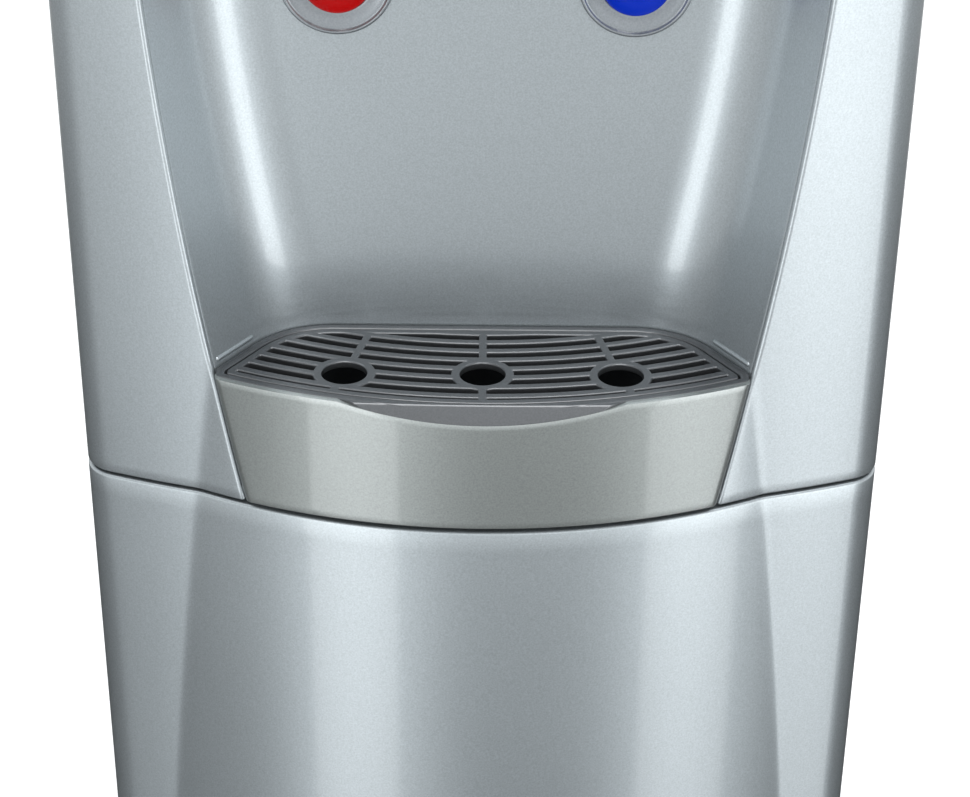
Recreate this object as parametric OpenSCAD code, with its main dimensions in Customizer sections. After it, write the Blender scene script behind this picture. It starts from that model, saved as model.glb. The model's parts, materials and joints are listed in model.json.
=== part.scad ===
// Floor-standing water cooler with a small fridge below, an alcove with two push buttons,
// a pull-out drip tray and a bottle collar on top.
// Millimetres. +Z up, the front faces -Y, the origin is on the floor under the middle.

/* [Cabinet] */
// Width of the cabinet
body_w = 310; // [296:1:330]
// Depth from the belly of the door to the back of the condenser
body_d = 350; // [345:1:380]
// Plan radius of the moulded front
front_arc_r = 409; // [360:1:600]
// Radius of the rounded vertical corners
corner_r = 16; // [10:1:22]
// Wall of the moulded plastic shells
shell_t = 2.5; // [2:0.1:3.2]
// Thickness of the steel side, rear and shelf sheets
sheet_t = 1.2; // [0.8:0.1:1.6]
// How far the moulded front reaches back along the sides
front_wrap = 63; // [60:1:72]
// Gap between the door and the front panel
seam_gap = 1.5; // [1:0.1:3]
// Assembly clearance between neighbouring pieces
fit_gap = 0.3; // [0.2:0.05:0.4]

/* [Levels] */
// Height of the feet
foot_h = 12; // [8:1:20]
// Height of the base pan
base_h = 46; // [36:1:60]
// Gap between the base pan and the door
door_lift = 4; // [3.5:0.5:8]
// Height of the fridge door
door_h = 481.5; // [440:0.5:520]
// Height of the front panel above the seam
panel_h = 360; // [350:1:390]
// Height of the top cover
cover_h = 25; // [18:1:35]
// Rise of the bottle collar above the top cover
collar_rise = 30; // [22:1:45]

/* [Belly and brow] */
// Plan radius of the belly
belly_r = 235; // [210:1:280]
// Lean of the belly at the seam, forward going down
belly_lean = 1.86; // [1:0.02:2.2]
// Drop of the belly's fullest level below the seam
belly_bend = 215; // [180:1:260]
// How far the belly stands proud of the front at the seam
belly_proud = 12; // [8:0.5:16]
// How far the header above the alcove stands proud of the front
brow_proud = 12; // [8:0.5:16]

/* [Alcove] */
// Height of the alcove above the seam
alcove_h = 255; // [240:1:270]
// Depth of the alcove behind the line of the front
alcove_d = 51.5; // [46:0.5:56]
// Width of the opening at the seam
opening_low_w = 179.4; // [170:0.2:190]
// Width of the opening at the gauge height
opening_high_w = 238.2; // [226:0.2:250]
// Gauge height above the seam for the upper width
opening_gauge_h = 200; // [180:1:220]
// Radius of the opening's bowed side edges
opening_edge_r = 1530; // [1200:10:2400]
// Radius of the opening's top corners
opening_top_r = 30; // [20:1:40]
// Flare of the alcove's side walls in plan
alcove_flare = 32.5; // [28:0.5:38]
// Fillet between the side walls and the back wall
alcove_fillet_r = 36; // [28:1:42]
// How far the liner's wall stands outside the edge of the opening
liner_lap = 1.5; // [1:0.1:2.5]
// Height of the hold-down beads above the tray
bead_lift = 1.2; // [1:0.1:3]
// Thickness of the hold-down beads
bead_t = 3; // [2:0.2:4]

/* [Drip tray] */
// Height of the tray
tray_h = 53; // [46:1:60]
// Running gap round the tray
tray_gap = 0.8; // [0.6:0.1:1.4]
// How far the tray's front stands proud of the belly at the seam
tray_proud = 3.5; // [1:0.5:5]
// Thickness of the tray's front
tray_front_t = 2.4; // [1.8:0.1:3]
// Width of the rim round the grille
rim_w = 3.2; // [2.4:0.1:4]
// Floor of the basin
basin_floor_t = 2.5; // [2:0.1:4]
// Drop of the finger scoop at its middle
scoop_h = 8.3; // [6:0.1:11]
// Width of the finger scoop along the front
scoop_w = 98; // [80:1:120]
// Travel of the tray
tray_travel = 100; // [60:1:120]

/* [Drip grille] */
// Thickness of the grille
grille_t = 3; // [2.4:0.1:4]
// Gap round the grille
grille_gap = 0.4; // [0.3:0.1:0.8]
// Width of a slot
slot_w = 3.6; // [2.8:0.1:4.2]
// Distance from one slot to the next
slot_pitch = 6.93; // [6:0.01:8]
// Number of slot rows
slot_rows = 8; // [6:1:8]
// Distance from the tray's front to the first slot
slot_first = 8.3; // [7.8:0.1:10]
// Solid margin between the slots and the grille's edge
slot_margin = 3; // [2:0.2:5]
// Width of the radial bars
grille_bar_w = 3.1; // [2.4:0.1:5]
// Radius of the three drain holes
drain_hole_r = 8.5; // [6:0.1:9.5]
// Width of the solid ring round a drain hole
drain_ring_w = 3.3; // [2:0.1:4]
// Distance between the drain holes, and between the nozzles and the middle
drain_pitch = 51.5; // [46:0.5:56]
// Distance from the alcove's back wall to the row of holes and nozzles
drain_reach = 38.9; // [36:0.1:42]

/* [Dispensing buttons] */
// Distance of a button from the middle
button_x = 53.6; // [48:0.2:60]
// Height of the buttons above the seam
button_up = 193; // [180:1:200]
// Radius of the fixed dish round a button
dish_r = 21.1; // [19:0.1:23]
// Height of the dish's rim above the wall
dish_rim = 2.4; // [1.8:0.1:4]
// Radius of a button
button_r = 12.8; // [11:0.1:13.4]
// Rise of the button's dome above its rim
button_dome = 5; // [3:0.1:7]
// Travel of a button
button_travel = 5; // [3:0.1:6]
// Radius of the sleeve behind the dish
sleeve_r = 16; // [15.6:0.1:17]
// Length of the sleeve behind the wall's face
sleeve_l = 12; // [10:0.5:14]
// Length of the relaxed return spring
spring_l = 12; // [11:0.5:16]
// Coil radius of the return spring
spring_coil_r = 7; // [5:0.2:8]
// Number of turns of the return spring
spring_turns = 5; // [4:1:5]

/* [Nozzles and valves] */
// Height of the nozzle tips above the seam
nozzle_up = 214; // [208:1:225]
// Radius of a nozzle
nozzle_r = 8; // [6:0.1:9]
// Radius of a nozzle's bore
nozzle_bore_r = 4; // [3:0.1:5]
// Radius of a nozzle's flange
nozzle_flange_r = 12; // [10.5:0.1:13]
// Width of a valve body
valve_w = 30; // [26:1:34]
// Depth of a valve body
valve_d = 36; // [32:1:40]
// Height of a valve body
valve_h = 30; // [26:1:34]
// Radius of a valve's coil
valve_coil_r = 13; // [10:0.5:14]
// Height of a valve's coil
valve_coil_h = 33; // [26:1:38]
// Outer radius of the hoses and their spigots
hose_r = 5; // [4:0.1:6]
// Length of a spigot
spigot_l = 12; // [10:0.5:14]

/* [Indicator] */
// Height of the indicator window above the seam
window_up = 312; // [300:1:325]
// Width of the window
window_w = 64; // [50:1:90]
// Height of the window
window_h = 14; // [12:1:20]
// Radius of a lamp
lamp_r = 2.5; // [1.5:0.1:3]
// Distance between the lamps
lamp_pitch = 20; // [14:1:24]

/* [Door] */
// Gap between the door and the cabinet that the gasket fills
gasket_t = 8; // [6:0.5:10]
// Width of the gasket
gasket_w = 12; // [8:0.5:12]
// Thickness of the door's inner liner
door_liner_t = 2; // [1.5:0.1:3]
// Depth of the ribs that carry the door racks
rib_d = 40; // [34:1:46]
// Thickness of those ribs
rib_t = 6; // [4:0.5:8]
// Distance from the door's side to a rib
rib_margin = 37; // [35:1:45]
// Height of a door rack
rack_h = 62; // [45:1:80]
// Height of the lower rack above the door's bottom
rack_low = 62; // [56:1:80]
// Height of the upper rack above the door's bottom
rack_high = 250; // [210:1:290]
// Distance of the hinge axis from the side
hinge_inset = 11; // [10:0.5:14]
// Distance of the hinge axis in front of the door's back
hinge_reach = 8; // [7:0.5:11]
// Radius of the hinge pins
pin_r = 3; // [2.5:0.1:3.5]
// Running clearance of the hinge pins
pin_gap = 0.05; // [0.03:0.01:0.09]
// Outer radius of the hinge bushes
bush_r = 5; // [4.5:0.1:6]
// Length of the hinge bushes
bush_l = 14; // [10:0.5:20]
// Thickness of the hinge plates
hinge_t = 2.5; // [2:0.1:3]

/* [Fridge] */
// Width of the fridge space
cavity_w = 260; // [250:1:270]
// Wall of the fridge liner
liner_t = 2; // [1.5:0.1:2.5]
// Insulation under the fridge space
foam_low = 40; // [30:1:50]
// Insulation above the fridge space
foam_high = 30; // [24:1:40]
// Insulation behind the fridge space
foam_back = 25; // [18:1:30]
// Depth of the compressor bay
bay_d = 130; // [126:1:134]
// Height of the compressor bay above the base pan
bay_h = 157; // [152:1:175]
// Gap between the fridge insulation and the rear panel
back_gap = 8; // [4:1:12]
// Height of the lower shelf above the step
shelf_low = 40; // [20:1:60]
// Distance between the shelves
shelf_rise = 110; // [90:1:120]
// Depth of the shelves
shelf_d = 135; // [110:1:140]
// Radius of a shelf's frame wire
shelf_frame_r = 2.5; // [2:0.1:3]
// Radius of a shelf's cross wires
shelf_wire_r = 1.4; // [1:0.1:1.8]
// Distance between a shelf's cross wires
shelf_wire_pitch = 20; // [14:1:30]

/* [Bottle seat] */
// Radius of the opening in the collar's rim
collar_mouth_r = 84; // [78:1:90]
// Thickness of the collar's rim
collar_rim_t = 8; // [6:0.5:10]
// Radius of the neck socket
socket_r = 29.5; // [28:0.1:31]
// Depth of the neck socket
socket_d = 27; // [22:0.5:28]
// Depth of the funnel below the rim
funnel_d = 53; // [48:1:56]
// Radius of the feed spike
spike_r = 6; // [5:0.1:8]
// Height of the feed spike above the socket's floor
spike_h = 44; // [36:1:50]

/* [Water] */
// Diameter of the cold tank as a share of the cabinet's depth
cold_tank_share = 0.3886; // [0.34:0.0002:0.41]
// Height of the cold tank
cold_tank_h = 156; // [130:1:160]
// Wall of the tanks
tank_t = 1; // [0.8:0.1:1.5]
// Insulation round the cold tank
cold_jacket_t = 15; // [12:0.5:18]
// Turns of the evaporator round the cold tank
evaporator_turns = 8; // [5:1:9]
// Pitch of the evaporator's turns
evaporator_pitch = 14; // [10:0.5:15]
// Tube radius of the evaporator
evaporator_r = 3; // [2.5:0.1:3.5]
// Height of the tank shelf above the seam
tank_shelf_up = 129; // [125:1:134]
// Radius of the hot tank
hot_tank_r = 50; // [44:1:54]
// Height of the hot tank
hot_tank_h = 100; // [84:1:102]
// Insulation round the hot tank
hot_jacket_t = 10; // [8:0.5:12]
// Thickness of the heater band
heater_t = 3; // [2:0.1:4]
// Height of the heater band
heater_h = 40; // [24:1:50]
// Distance of the hot tank from the middle
hot_tank_x = 58; // [52:1:66]
// Radius of the water pipes
pipe_r = 6; // [5:0.1:7]
// Length of the drain pipe behind the rear panel
drain_l = 14; // [12:0.5:15]
// Distance of the drain pipe from the middle
drain_x = 98; // [94:1:104]

/* [Cooling] */
// Depth of the condenser behind the rear panel's inner face
condenser_d = 25; // [22:0.5:30]
// Tube radius of the condenser
condenser_r = 2.5; // [2:0.1:3]
// Length of a condenser run between its bends
condenser_w = 160; // [140:2:170]
// Distance between the condenser's runs
condenser_pitch = 44; // [36:1:50]
// Number of condenser runs
condenser_runs = 11; // [7:2:11]
// Sideways offset of the condenser
condenser_x = -26; // [-34:1:-20]
// Height of the lowest run above the base pan
condenser_up = 236; // [226:1:250]
// Radius of the condenser's wires
wire_r = 0.8; // [0.6:0.1:1]
// Distance between the wires
wire_pitch = 10; // [8:1:16]
// Radius of the compressor's shell
compressor_r = 56; // [48:1:58]
// Height of the compressor's shell
compressor_h = 140; // [120:1:144]
// Height of the compressor's rubber mounts
mount_h = 14; // [10:1:18]
// Spacing of the rubber mounts across the cabinet
mount_span_x = 140; // [136:1:150]
// Spacing of the rubber mounts along the cabinet
mount_span_y = 84; // [76:1:90]

/* [Rear fittings] */
// Height of the switches above the seam
switch_up = 305; // [300:1:320]
// Distance of the switches from the middle
switch_x = 76; // [70:1:90]
// Width of a rocker
rocker_w = 18; // [14:0.5:20]
// Half height of a rocker
rocker_h = 10.5; // [9:0.5:12]
// Depth of a rocker in front of its axis
rocker_d = 6; // [5:0.5:7]
// Swing of a rocker
rocker_swing = 14; // [10:1:16]
// Thickness of the switch plate
switch_plate_t = 3; // [2.5:0.1:4]
// Distance of the cord gland from the side
gland_inset = 43; // [37:1:51]
// Height of the cord gland above the bay
gland_up = 22; // [16:1:30]
// Radius of the cord gland's bore
gland_bore_r = 4; // [3:0.1:5]
// Radius of the rear panel's screws
screw_r = 1.5; // [1:0.1:2]
// Width of the side panels' rear flanges
flange_w = 16; // [13:0.5:20]

/* [Hidden] */
$fn = 96;
big_fn = 256;
eps = 0.01;
far = 1000;
hull_fn = 48;
side_steps = 16;
corner_steps = 10;
coil_sides = 6;
tube_sides = 8;
hose_sides = 12;
window_flange_t = 1.5;
window_lap = 3;
lamp_l = 11;
nozzle_flange_t = 3;
screw_head_r = 3.6;
drain_cap_t = 3.5;
pivot_r = 1.5;
rack_t = 2.2;
housing_t = 2.6;
spring_wire_r = 0.6;
collar_flange_w = 12;
ledge_w = 2.2;
mount_r = 9;
half_w = body_w / 2;
inner_half_w = half_w - sheet_t - fit_gap;
front_y = -body_d / 2;
rear_y = body_d / 2 - condenser_d;
base_z1 = foot_h + base_h;
door_z0 = base_z1 + door_lift;
door_z1 = door_z0 + door_h;
seam_z = door_z1 + seam_gap;
panel_z1 = seam_z + panel_h;
cover_z1 = panel_z1 + cover_h;
collar_z1 = cover_z1 + collar_rise;

// Front lines of the belly at the seam and of the cabinet
bend_z = seam_z - belly_bend;
seam_belly_y = front_y + belly_bend * tan(belly_lean);
body_y = seam_belly_y + belly_proud;
bulge_half = half_w - corner_r;
bulge_d = 52;
// Distance from the middle to the crease where a bulge of a given height leaves the front
function crease_x(proud) =
    let (d = front_arc_r - belly_r + proud, a = (pow(belly_r, 2) - pow(front_arc_r, 2) + d * d) / (2 * d))
    sqrt(pow(belly_r, 2) - a * a);
brow_crease = crease_x(brow_proud);
brow_lap = 3;
belly_core = crease_x(belly_proud) - 10;
brow_y = body_y - brow_proud;
side_y0 = body_y + front_wrap;
door_back_y = side_y0 - gasket_t;

// Alcove: the bowed side edges of its opening are arcs through two gauge points
alcove_z1 = seam_z + alcove_h;
alcove_y = body_y + alcove_d;
brow_z0 = alcove_z1 - 0.7 * opening_top_r;
edge_dx = (opening_high_w - opening_low_w) / 2;
edge_len = norm([edge_dx, opening_gauge_h]);
edge_off = sqrt(pow(opening_edge_r, 2) - pow(edge_len / 2, 2));
edge_cx = (opening_low_w + opening_high_w) / 4 - edge_off * opening_gauge_h / edge_len;
edge_cz = seam_z + opening_gauge_h / 2 + edge_off * edge_dx / edge_len;
function edge_x(z) = edge_cx + sqrt(pow(opening_edge_r, 2) - pow(z - edge_cz, 2));
function front_arc_y(x) = body_y + front_arc_r - sqrt(pow(front_arc_r, 2) - x * x);
function brow_arc_y(x) = brow_y + belly_r - sqrt(pow(belly_r, 2) - x * x);
// Where a side wall of the alcove would meet the back wall without its fillet
function wall_x(z) =
    let (x = edge_x(z) + liner_lap)
    x - (alcove_y - front_arc_y(x)) * tan(alcove_flare);
function fillet_x(z) = wall_x(z) - alcove_fillet_r * tan((90 - alcove_flare) / 2);

// Deck between the fridge and the water section, and the tray that slides on it
deck_t = 5;
deck_z1 = seam_z + deck_t;
tray_z1 = seam_z + tray_h;
tray_y = seam_belly_y - tray_proud;
scoop_r = (pow(scoop_w / 2, 2) + pow(scoop_h, 2)) / (2 * scoop_h);
scoop_run = pow(scoop_w / 2, 2) / (2 * belly_r);
lip_edge = 0.6;
drain_y = alcove_y - drain_reach;
slot_r0 = belly_r - slot_first;
alcove_mouth_y = front_y - 2 * tray_proud - 10;

// Buttons: the switch housing closes the sleeve behind the alcove's wall
button_z = seam_z + button_up;
stem_gap = 0.3;
stop_t = 2;
stop_r = button_r + 2;
stop_back = sleeve_l + stem_gap + stop_t;
dish_floor = 1;
button_rim = 3.2;
dome_steps = 8;
housing_gap = 0.1;
housing_l = sleeve_l + stop_t + spring_l + housing_t;
wire_gap = 0.05;
spring_rise = housing_l - housing_t - stop_back - 2 * (spring_wire_r + wire_gap);
spring_route = helix(spring_coil_r, spring_rise / spring_turns, spring_turns, 12);

// Nozzles and valves
nozzle_z0 = seam_z + nozzle_up;
ceiling_z1 = alcove_z1 + shell_t;
valve_z0 = ceiling_z1 + nozzle_flange_t;
valve_front = 10;
valve_spigot_z = valve_z0 + valve_h / 2;
valve_back_y = drain_y - valve_front + valve_d;
window_z = seam_z + window_up;

// Door fittings
hinge_x = half_w - hinge_inset;
hinge_y = door_back_y - hinge_reach;
hinge_w = 14;
hinge_l = 36;
gasket_inset = hinge_inset + 1;
rib_z0 = door_z0 + foam_low;
rib_z1 = door_z1 - foam_high;
rib_span = body_w - 2 * rib_margin;
rack_w = rib_span - 2 * rib_t - 2 * fit_gap;
rack_ledge = 3;
rack_z = [door_z0 + rack_low, door_z0 + rack_high];

// Fridge space, stepped over the compressor bay
cavity_z0 = base_z1 + foam_low;
cavity_z1 = seam_z - foam_high;
bay_y = rear_y - bay_d;
bay_z1 = base_z1 + bay_h;
cavity_low_y = bay_y - foam_back;
cavity_high_y = rear_y - back_gap - foam_back;
step_z = bay_z1 + foam_back;
shelf_w = cavity_w - 2;
shelf_front_y = cavity_high_y - 2 - shelf_d;
shelf_z = [step_z + shelf_low, step_z + shelf_low + shelf_rise];
shelf_half_wires = floor((shelf_w / 2 - 2 * shelf_frame_r) / shelf_wire_pitch);
shelf_ledge_w = 6;
shelf_ledge_t = 3;

// Water section
tank_shelf_z1 = seam_z + tank_shelf_up;
cold_tank_r = cold_tank_share * body_d / 2;
cold_jacket_r = cold_tank_r + 2 * evaporator_r + 1 + cold_jacket_t;
cold_inner_r = cold_jacket_r - cold_jacket_t;
tank_y = rear_y - cold_jacket_r - 24;
cold_tank_z0 = tank_shelf_z1 + cold_jacket_t;
cold_tank_z1 = cold_tank_z0 + cold_tank_h;
cold_jacket_z1 = cold_tank_z1 + cold_jacket_t;
cold_spigot_x = 12;
cold_spigot_y = tank_y - cold_jacket_r - 4;
cold_spigot_z = cold_tank_z0 + 14;
tank_shelf_y0 = tank_y - cold_jacket_r - 2;
tank_shelf_flange = 20;
evaporator_route = helix(cold_tank_r + evaporator_r + 0.5, evaporator_pitch, evaporator_turns, 24);
hot_jacket_r = hot_tank_r + heater_t + 0.6 + hot_jacket_t;
hot_inner_r = hot_jacket_r - hot_jacket_t;
hot_tank_y = rear_y - hot_jacket_r - 8;
hot_tank_z0 = deck_z1 + hot_jacket_t;
hot_tank_z1 = hot_tank_z0 + hot_tank_h;
hot_jacket_z1 = hot_tank_z1 + hot_jacket_t;
hot_spigot_x = hot_tank_x - 20;
hot_spigot_y = hot_tank_y - hot_jacket_r - 4;
hot_spigot_z = hot_tank_z1 - 16;
heater_gap = 0.1;
feed_x = hot_tank_x - 18;
feed_y = hot_tank_y - 18;
drain_z = hot_tank_z0 + pipe_r + 4;

// Bottle seat
collar_r = collar_mouth_r + collar_rim_t;
funnel_z0 = collar_z1 - funnel_d;
socket_z0 = funnel_z0 - socket_d;
collar_flange_t = 3;
collar_round = 4;
spike_bore_r = spike_r - 2;
spike_flange_t = 2.5;

// Cooling
condenser_y = body_d / 2 - 2 * wire_r - wire_gap - condenser_r;
condenser_x0 = condenser_x - condenser_w / 2;
condenser_x1 = condenser_x + condenser_w / 2;
bracket_w = 10;
condenser_z0 = base_z1 + condenser_up;
condenser_z1 = condenser_z0 + (condenser_runs - 1) * condenser_pitch;
compressor_x = -20;
compressor_y = rear_y - compressor_r - 14;
pan_floor_t = 3;
pan_wall_t = 3;
bay_vent_w = 200;
bay_vent_h = 22;
foot_r = 15;
terminal_w = 36;
compressor_z0 = foot_h + pan_floor_t + mount_h;
compressor_foot_t = 3;
compressor_z1 = compressor_z0 + compressor_foot_t + compressor_h;
discharge_x = compressor_x - compressor_r * 0.55;
discharge_z = compressor_z1 + 8;
return_x = 40;
return_z = condenser_z1 + 12 * condenser_r;
bend_r = condenser_pitch / 2;
// Runs joined by half-circle bends, alternately at the right and at the left
serpentine = [for (i = [0:condenser_runs - 1])
    let (z = condenser_z0 + i * condenser_pitch, s = i % 2 == 0 ? 1 : -1,
        x0 = s > 0 ? condenser_x0 : condenser_x1, x1 = s > 0 ? condenser_x1 : condenser_x0)
    each concat(
        [[x0, condenser_y, z], [x1, condenser_y, z]],
        i == condenser_runs - 1 ? [] : [for (a = [30:30:150])
            [x1 + s * bend_r * sin(a), condenser_y, z + bend_r * (1 - cos(a))]])];
tube_step = 4 * condenser_r;
compressor_out = [discharge_x, compressor_y, discharge_z];
condenser_in = [condenser_x0, condenser_y, condenser_z0];
condenser_out = [condenser_x1, condenser_y, condenser_z1];
return_bend = [return_x, condenser_y, return_z];
bay_edge = [condenser_x0, condenser_y, bay_z1];
discharge_route = [
    compressor_out, compressor_out + tube_step * [0, 0, 1.2],
    [discharge_x - 1.6 * tube_step, compressor_y + 2 * tube_step, bay_z1 - 1.4 * tube_step],
    [discharge_x - 5 * tube_step, rear_y - 0.6 * tube_step, bay_z1 - 1.2 * tube_step],
    bay_edge + tube_step * [-2.4, -0.2, 1.4], condenser_in + tube_step * [-2.6, 0, -3],
    condenser_in + tube_step * [-1.8, 0, -0.5], condenser_in + tube_step * [-0.6, 0, 0]];
return_route = [
    condenser_out + tube_step * [0.8, 0, 0], condenser_out + tube_step * [1.6, 0, 0.8],
    condenser_out + tube_step * [1.2, 0, 2.2], return_bend + tube_step * [0.6, -0.3, -0.3],
    return_bend + tube_step * [0, -1.2, 0], [return_x, rear_y - 0.8 * tube_step, return_z],
    [return_x, tank_y + sqrt(pow(cold_jacket_r, 2) - return_x * return_x) - 0.6 * tube_step, return_z]];
// Hoses rise in the lane between the alcove and the cold tank
lane_y = (alcove_y + shell_t + tank_y - cold_jacket_r) / 2;
hose_end_y = valve_back_y + spigot_l + wire_gap;
hose_step = 2 * hose_r;
// First points of a hose, straight off a tank's spigot
function tank_end(p) = [for (y = [-wire_gap, -0.5 * hose_step, -0.9 * hose_step]) p + [0, y, 0]];
// Last points of a hose, straight on to the spigot of the valve on a side
function valve_end(s) =
    let (p = [s * drain_pitch, hose_end_y, valve_spigot_z])
    [[s * (cold_spigot_x + 0.6 * hose_step), lane_y, valve_spigot_z - 2.6 * hose_step],
        [s * (drain_pitch - 1.4 * hose_step), lane_y - 0.1 * hose_step, valve_spigot_z - 0.4 * hose_step],
        p + [0, hose_step, 0], p + [0, hose_step / 2, 0], p];
cold_spigot = [cold_spigot_x, cold_spigot_y, cold_spigot_z];
hot_spigot = [hot_spigot_x, hot_spigot_y, hot_spigot_z];
cold_route = concat(
    tank_end(cold_spigot),
    [for (rise = [1.8, 6]) [cold_spigot_x, lane_y, cold_spigot_z + rise * hose_step]],
    valve_end(1));
hot_route = concat(
    tank_end(hot_spigot),
    [[hot_spigot_x - 0.6 * hose_step, (hot_spigot_y + lane_y) / 2, hot_spigot_z + 0.2 * hose_step],
        [hot_spigot_x - 2.6 * hose_step, lane_y + 0.6 * hose_step, hot_spigot_z + 1.2 * hose_step],
        [-cold_spigot_x, lane_y, hot_spigot_z + 4.8 * hose_step],
        [-cold_spigot_x, lane_y, valve_spigot_z - 5 * hose_step]],
    valve_end(-1));

// Rear fittings
panel_back_y = rear_y + sheet_t;
switch_z = seam_z + switch_up;
rocker_gap = 0.6;
rocker_reach = norm([rocker_d, rocker_h]);
rocker_x = rocker_w / 2 + rocker_gap + 1;
switch_shell_t = 2;
switch_in_w = rocker_x + rocker_w / 2 + rocker_gap + switch_shell_t;
switch_in_h = rocker_reach + rocker_gap + switch_shell_t;
switch_half_w = switch_in_w + 3;
switch_half_h = switch_in_h + 3;
pivot_y = panel_back_y - 1;
switch_y0 = pivot_y - 1.5 * rocker_d - rocker_gap - switch_shell_t;
drain_cap_gap = 0.05;
cap_y0 = 1.5;
gland_x = half_w - gland_inset;
gland_z = bay_z1 + gland_up;
gland_wall = 3;
gland_l = 6;
panel_edge = 4;
screw_gap = 0.15;
screw_x = half_w - flange_w / 2 - 1;
screw_rows = 4;
screw_margin = 30;
screw_z = [for (i = [0:screw_rows - 1])
    bay_z1 + screw_margin + i * (panel_z1 - bay_z1 - 2 * screw_margin) / (screw_rows - 1)];
louvre_w = 40;
louvre_h = 4;
louvre_pitch = 10;
louvre_rows = 5;

silver = "#9aa2a8";
warm_silver = "#8f9694";
dark_grey = "#5c6064";
steel = "#b4b8bb";
white_plastic = "#e9ebea";
copper = "#b5713f";
black_plastic = "#26282a";
foam_colour = "#e8dfb8";

// Prism from y0 to y1 of an outline drawn in X and Z
module xz_prism(y0, y1)
    translate([0, y1, 0])
        rotate([90, 0, 0])
            linear_extrude(y1 - y0)
                children();

// Prism of the given width, centred on x, of an outline drawn in Y and Z
module yz_prism(w, x = 0)
    translate([x - w / 2, 0, 0])
        rotate([90, 0, 90])
            linear_extrude(w)
                children();

module block(low, high)
    translate(low)
        cube(high - low);

// Turned piece whose axis runs towards the front from the point given
module facing_front(x, y, z)
    translate([x, y, z])
        rotate([90, 0, 0])
            rotate_extrude()
                children();

// Turned piece whose axis runs towards the back
module facing_back(x, y, z)
    translate([x, y, z])
        rotate([-90, 0, 0])
            rotate_extrude()
                children();

// Bar of a given radius along +Y
module y_bar(x, y0, y1, z, r)
    translate([x, y0, z])
        rotate([-90, 0, 0])
            cylinder(h = y1 - y0, r = r);

// Bar of a given radius along +X
module x_bar(x0, x1, y, z, r)
    translate([x0, y, z])
        rotate([0, 90, 0])
            cylinder(h = x1 - x0, r = r);

// Tubes swept along a route, with rings carried from each point to the next
function unit(v) = v / norm(v);
function tangent(p, i) =
    unit(p[min(i + 1, len(p) - 1)] - p[max(i - 1, 0)]);
function carried(v, t) = unit(v - (v * t) * t);
function any_normal(t) = carried(abs(t.z) < 0.9 ? [0, 0, 1] : [1, 0, 0], t);
function normals(p, i = 0, last = undef, out = []) =
    i == len(p)
        ? out
        : let (t = tangent(p, i), n = is_undef(last) ? any_normal(t) : carried(last, t))
          normals(p, i + 1, n, concat(out, [n]));
function curve_point(a, b, c, d, t) =
    0.5 * (2 * b + (c - a) * t + (2 * a - 5 * b + 4 * c - d) * t * t
        + (3 * b - a - 3 * c + d) * t * t * t);
function smooth_route(p, steps) =
    concat(
        [for (i = [0:len(p) - 2]) for (s = [0:steps - 1])
            curve_point(p[max(i - 1, 0)], p[i], p[i + 1], p[min(i + 2, len(p) - 1)], s / steps)],
        [p[len(p) - 1]]);

module tube(route, r, sides) {
    n = normals(route);
    last = len(route) - 1;
    points = [for (i = [0:last]) let (t = tangent(route, i), b = cross(t, n[i]))
        for (k = [0:sides - 1])
            route[i] + r * (cos(k * 360 / sides) * n[i] + sin(k * 360 / sides) * b)];
    walls = [for (i = [0:last - 1]) for (k = [0:sides - 1])
        let (a = i * sides + k, b = i * sides + (k + 1) % sides)
        each [[a, a + sides, b], [b, a + sides, b + sides]]];
    near_end = [for (k = [1:sides - 2]) [0, k, k + 1]];
    far_end = [for (k = [1:sides - 2]) [last * sides, last * sides + k + 1, last * sides + k]];
    polyhedron(points, concat(walls, near_end, far_end));
}

function helix(r, pitch, turns, steps) =
    [for (i = [0:turns * steps])
        [r * cos(i * 360 / steps), r * sin(i * 360 / steps), pitch * i / steps]];
// Least gap of a coil to itself, between rings at least half a turn apart
function least_gap(p, r, steps) =
    min([for (i = [0:len(p) - 1]) for (k = [i + steps / 2:len(p) - 1]) norm(p[k] - p[i])]) - 2 * r;

// Plan of the front: an arc between two sides, with rounded corners
module front_plan(arc_r, arc_y, inset, rear) {
    r = arc_r - inset;
    c = corner_r - inset;
    w = half_w - inset;
    cy = arc_y + arc_r;
    fx = w - c;
    fy = cy - sqrt(pow(r - c, 2) - fx * fx);
    tx = fx * r / (r - c);
    ty = cy + (fy - cy) * r / (r - c);
    intersection() {
        translate([0, cy]) circle(r, $fn = big_fn);
        translate([-tx, cy - r - 1]) square([2 * tx, ty - cy + r + 1]);
    }
    polygon([
        [-tx, ty], [0, ty - 1], [tx, ty], [fx, fy], [w, fy], [w, rear], [-w, rear], [-w, fy], [-fx, fy]]);
    for (s = [-1, 1])
        translate([s * fx, fy])
            intersection() {
                circle(c);
                translate([-c, -c]) square([2 * c, c + 1]);
            }
}

module body_prism(inset, z0, z1, rear)
    translate([0, 0, z0])
        linear_extrude(z1 - z0)
            front_plan(front_arc_r, body_y, inset, rear);

// Plan of a bulge: the front cap of a circle that touches y = 0
module bulge_plan(inset, depth)
    intersection() {
        translate([0, belly_r]) circle(belly_r - inset, $fn = big_fn);
        translate([-bulge_half, -1]) square([2 * bulge_half, depth + 1]);
    }

// Upright tube of the belly's radius that touches the front at the bend, leaning as given
module belly_tube(inset, lean)
    translate([0, front_y, bend_z])
        rotate([-lean, 0, 0])
            translate([0, belly_r, -far / 2])
                cylinder(h = far, r = belly_r - inset, $fn = big_fn);

// Belly: leaning back above the bend and below it
module belly(inset, z0, z1)
    intersection() {
        belly_tube(inset, belly_lean);
        belly_tube(inset, -belly_lean);
        block([-bulge_half, -body_d, z0], [bulge_half, front_y + bulge_d, z1]);
    }

module brow(inset, z0, z1)
    translate([0, brow_y, z0])
        linear_extrude(z1 - z0) bulge_plan(inset, bulge_d);

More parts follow.
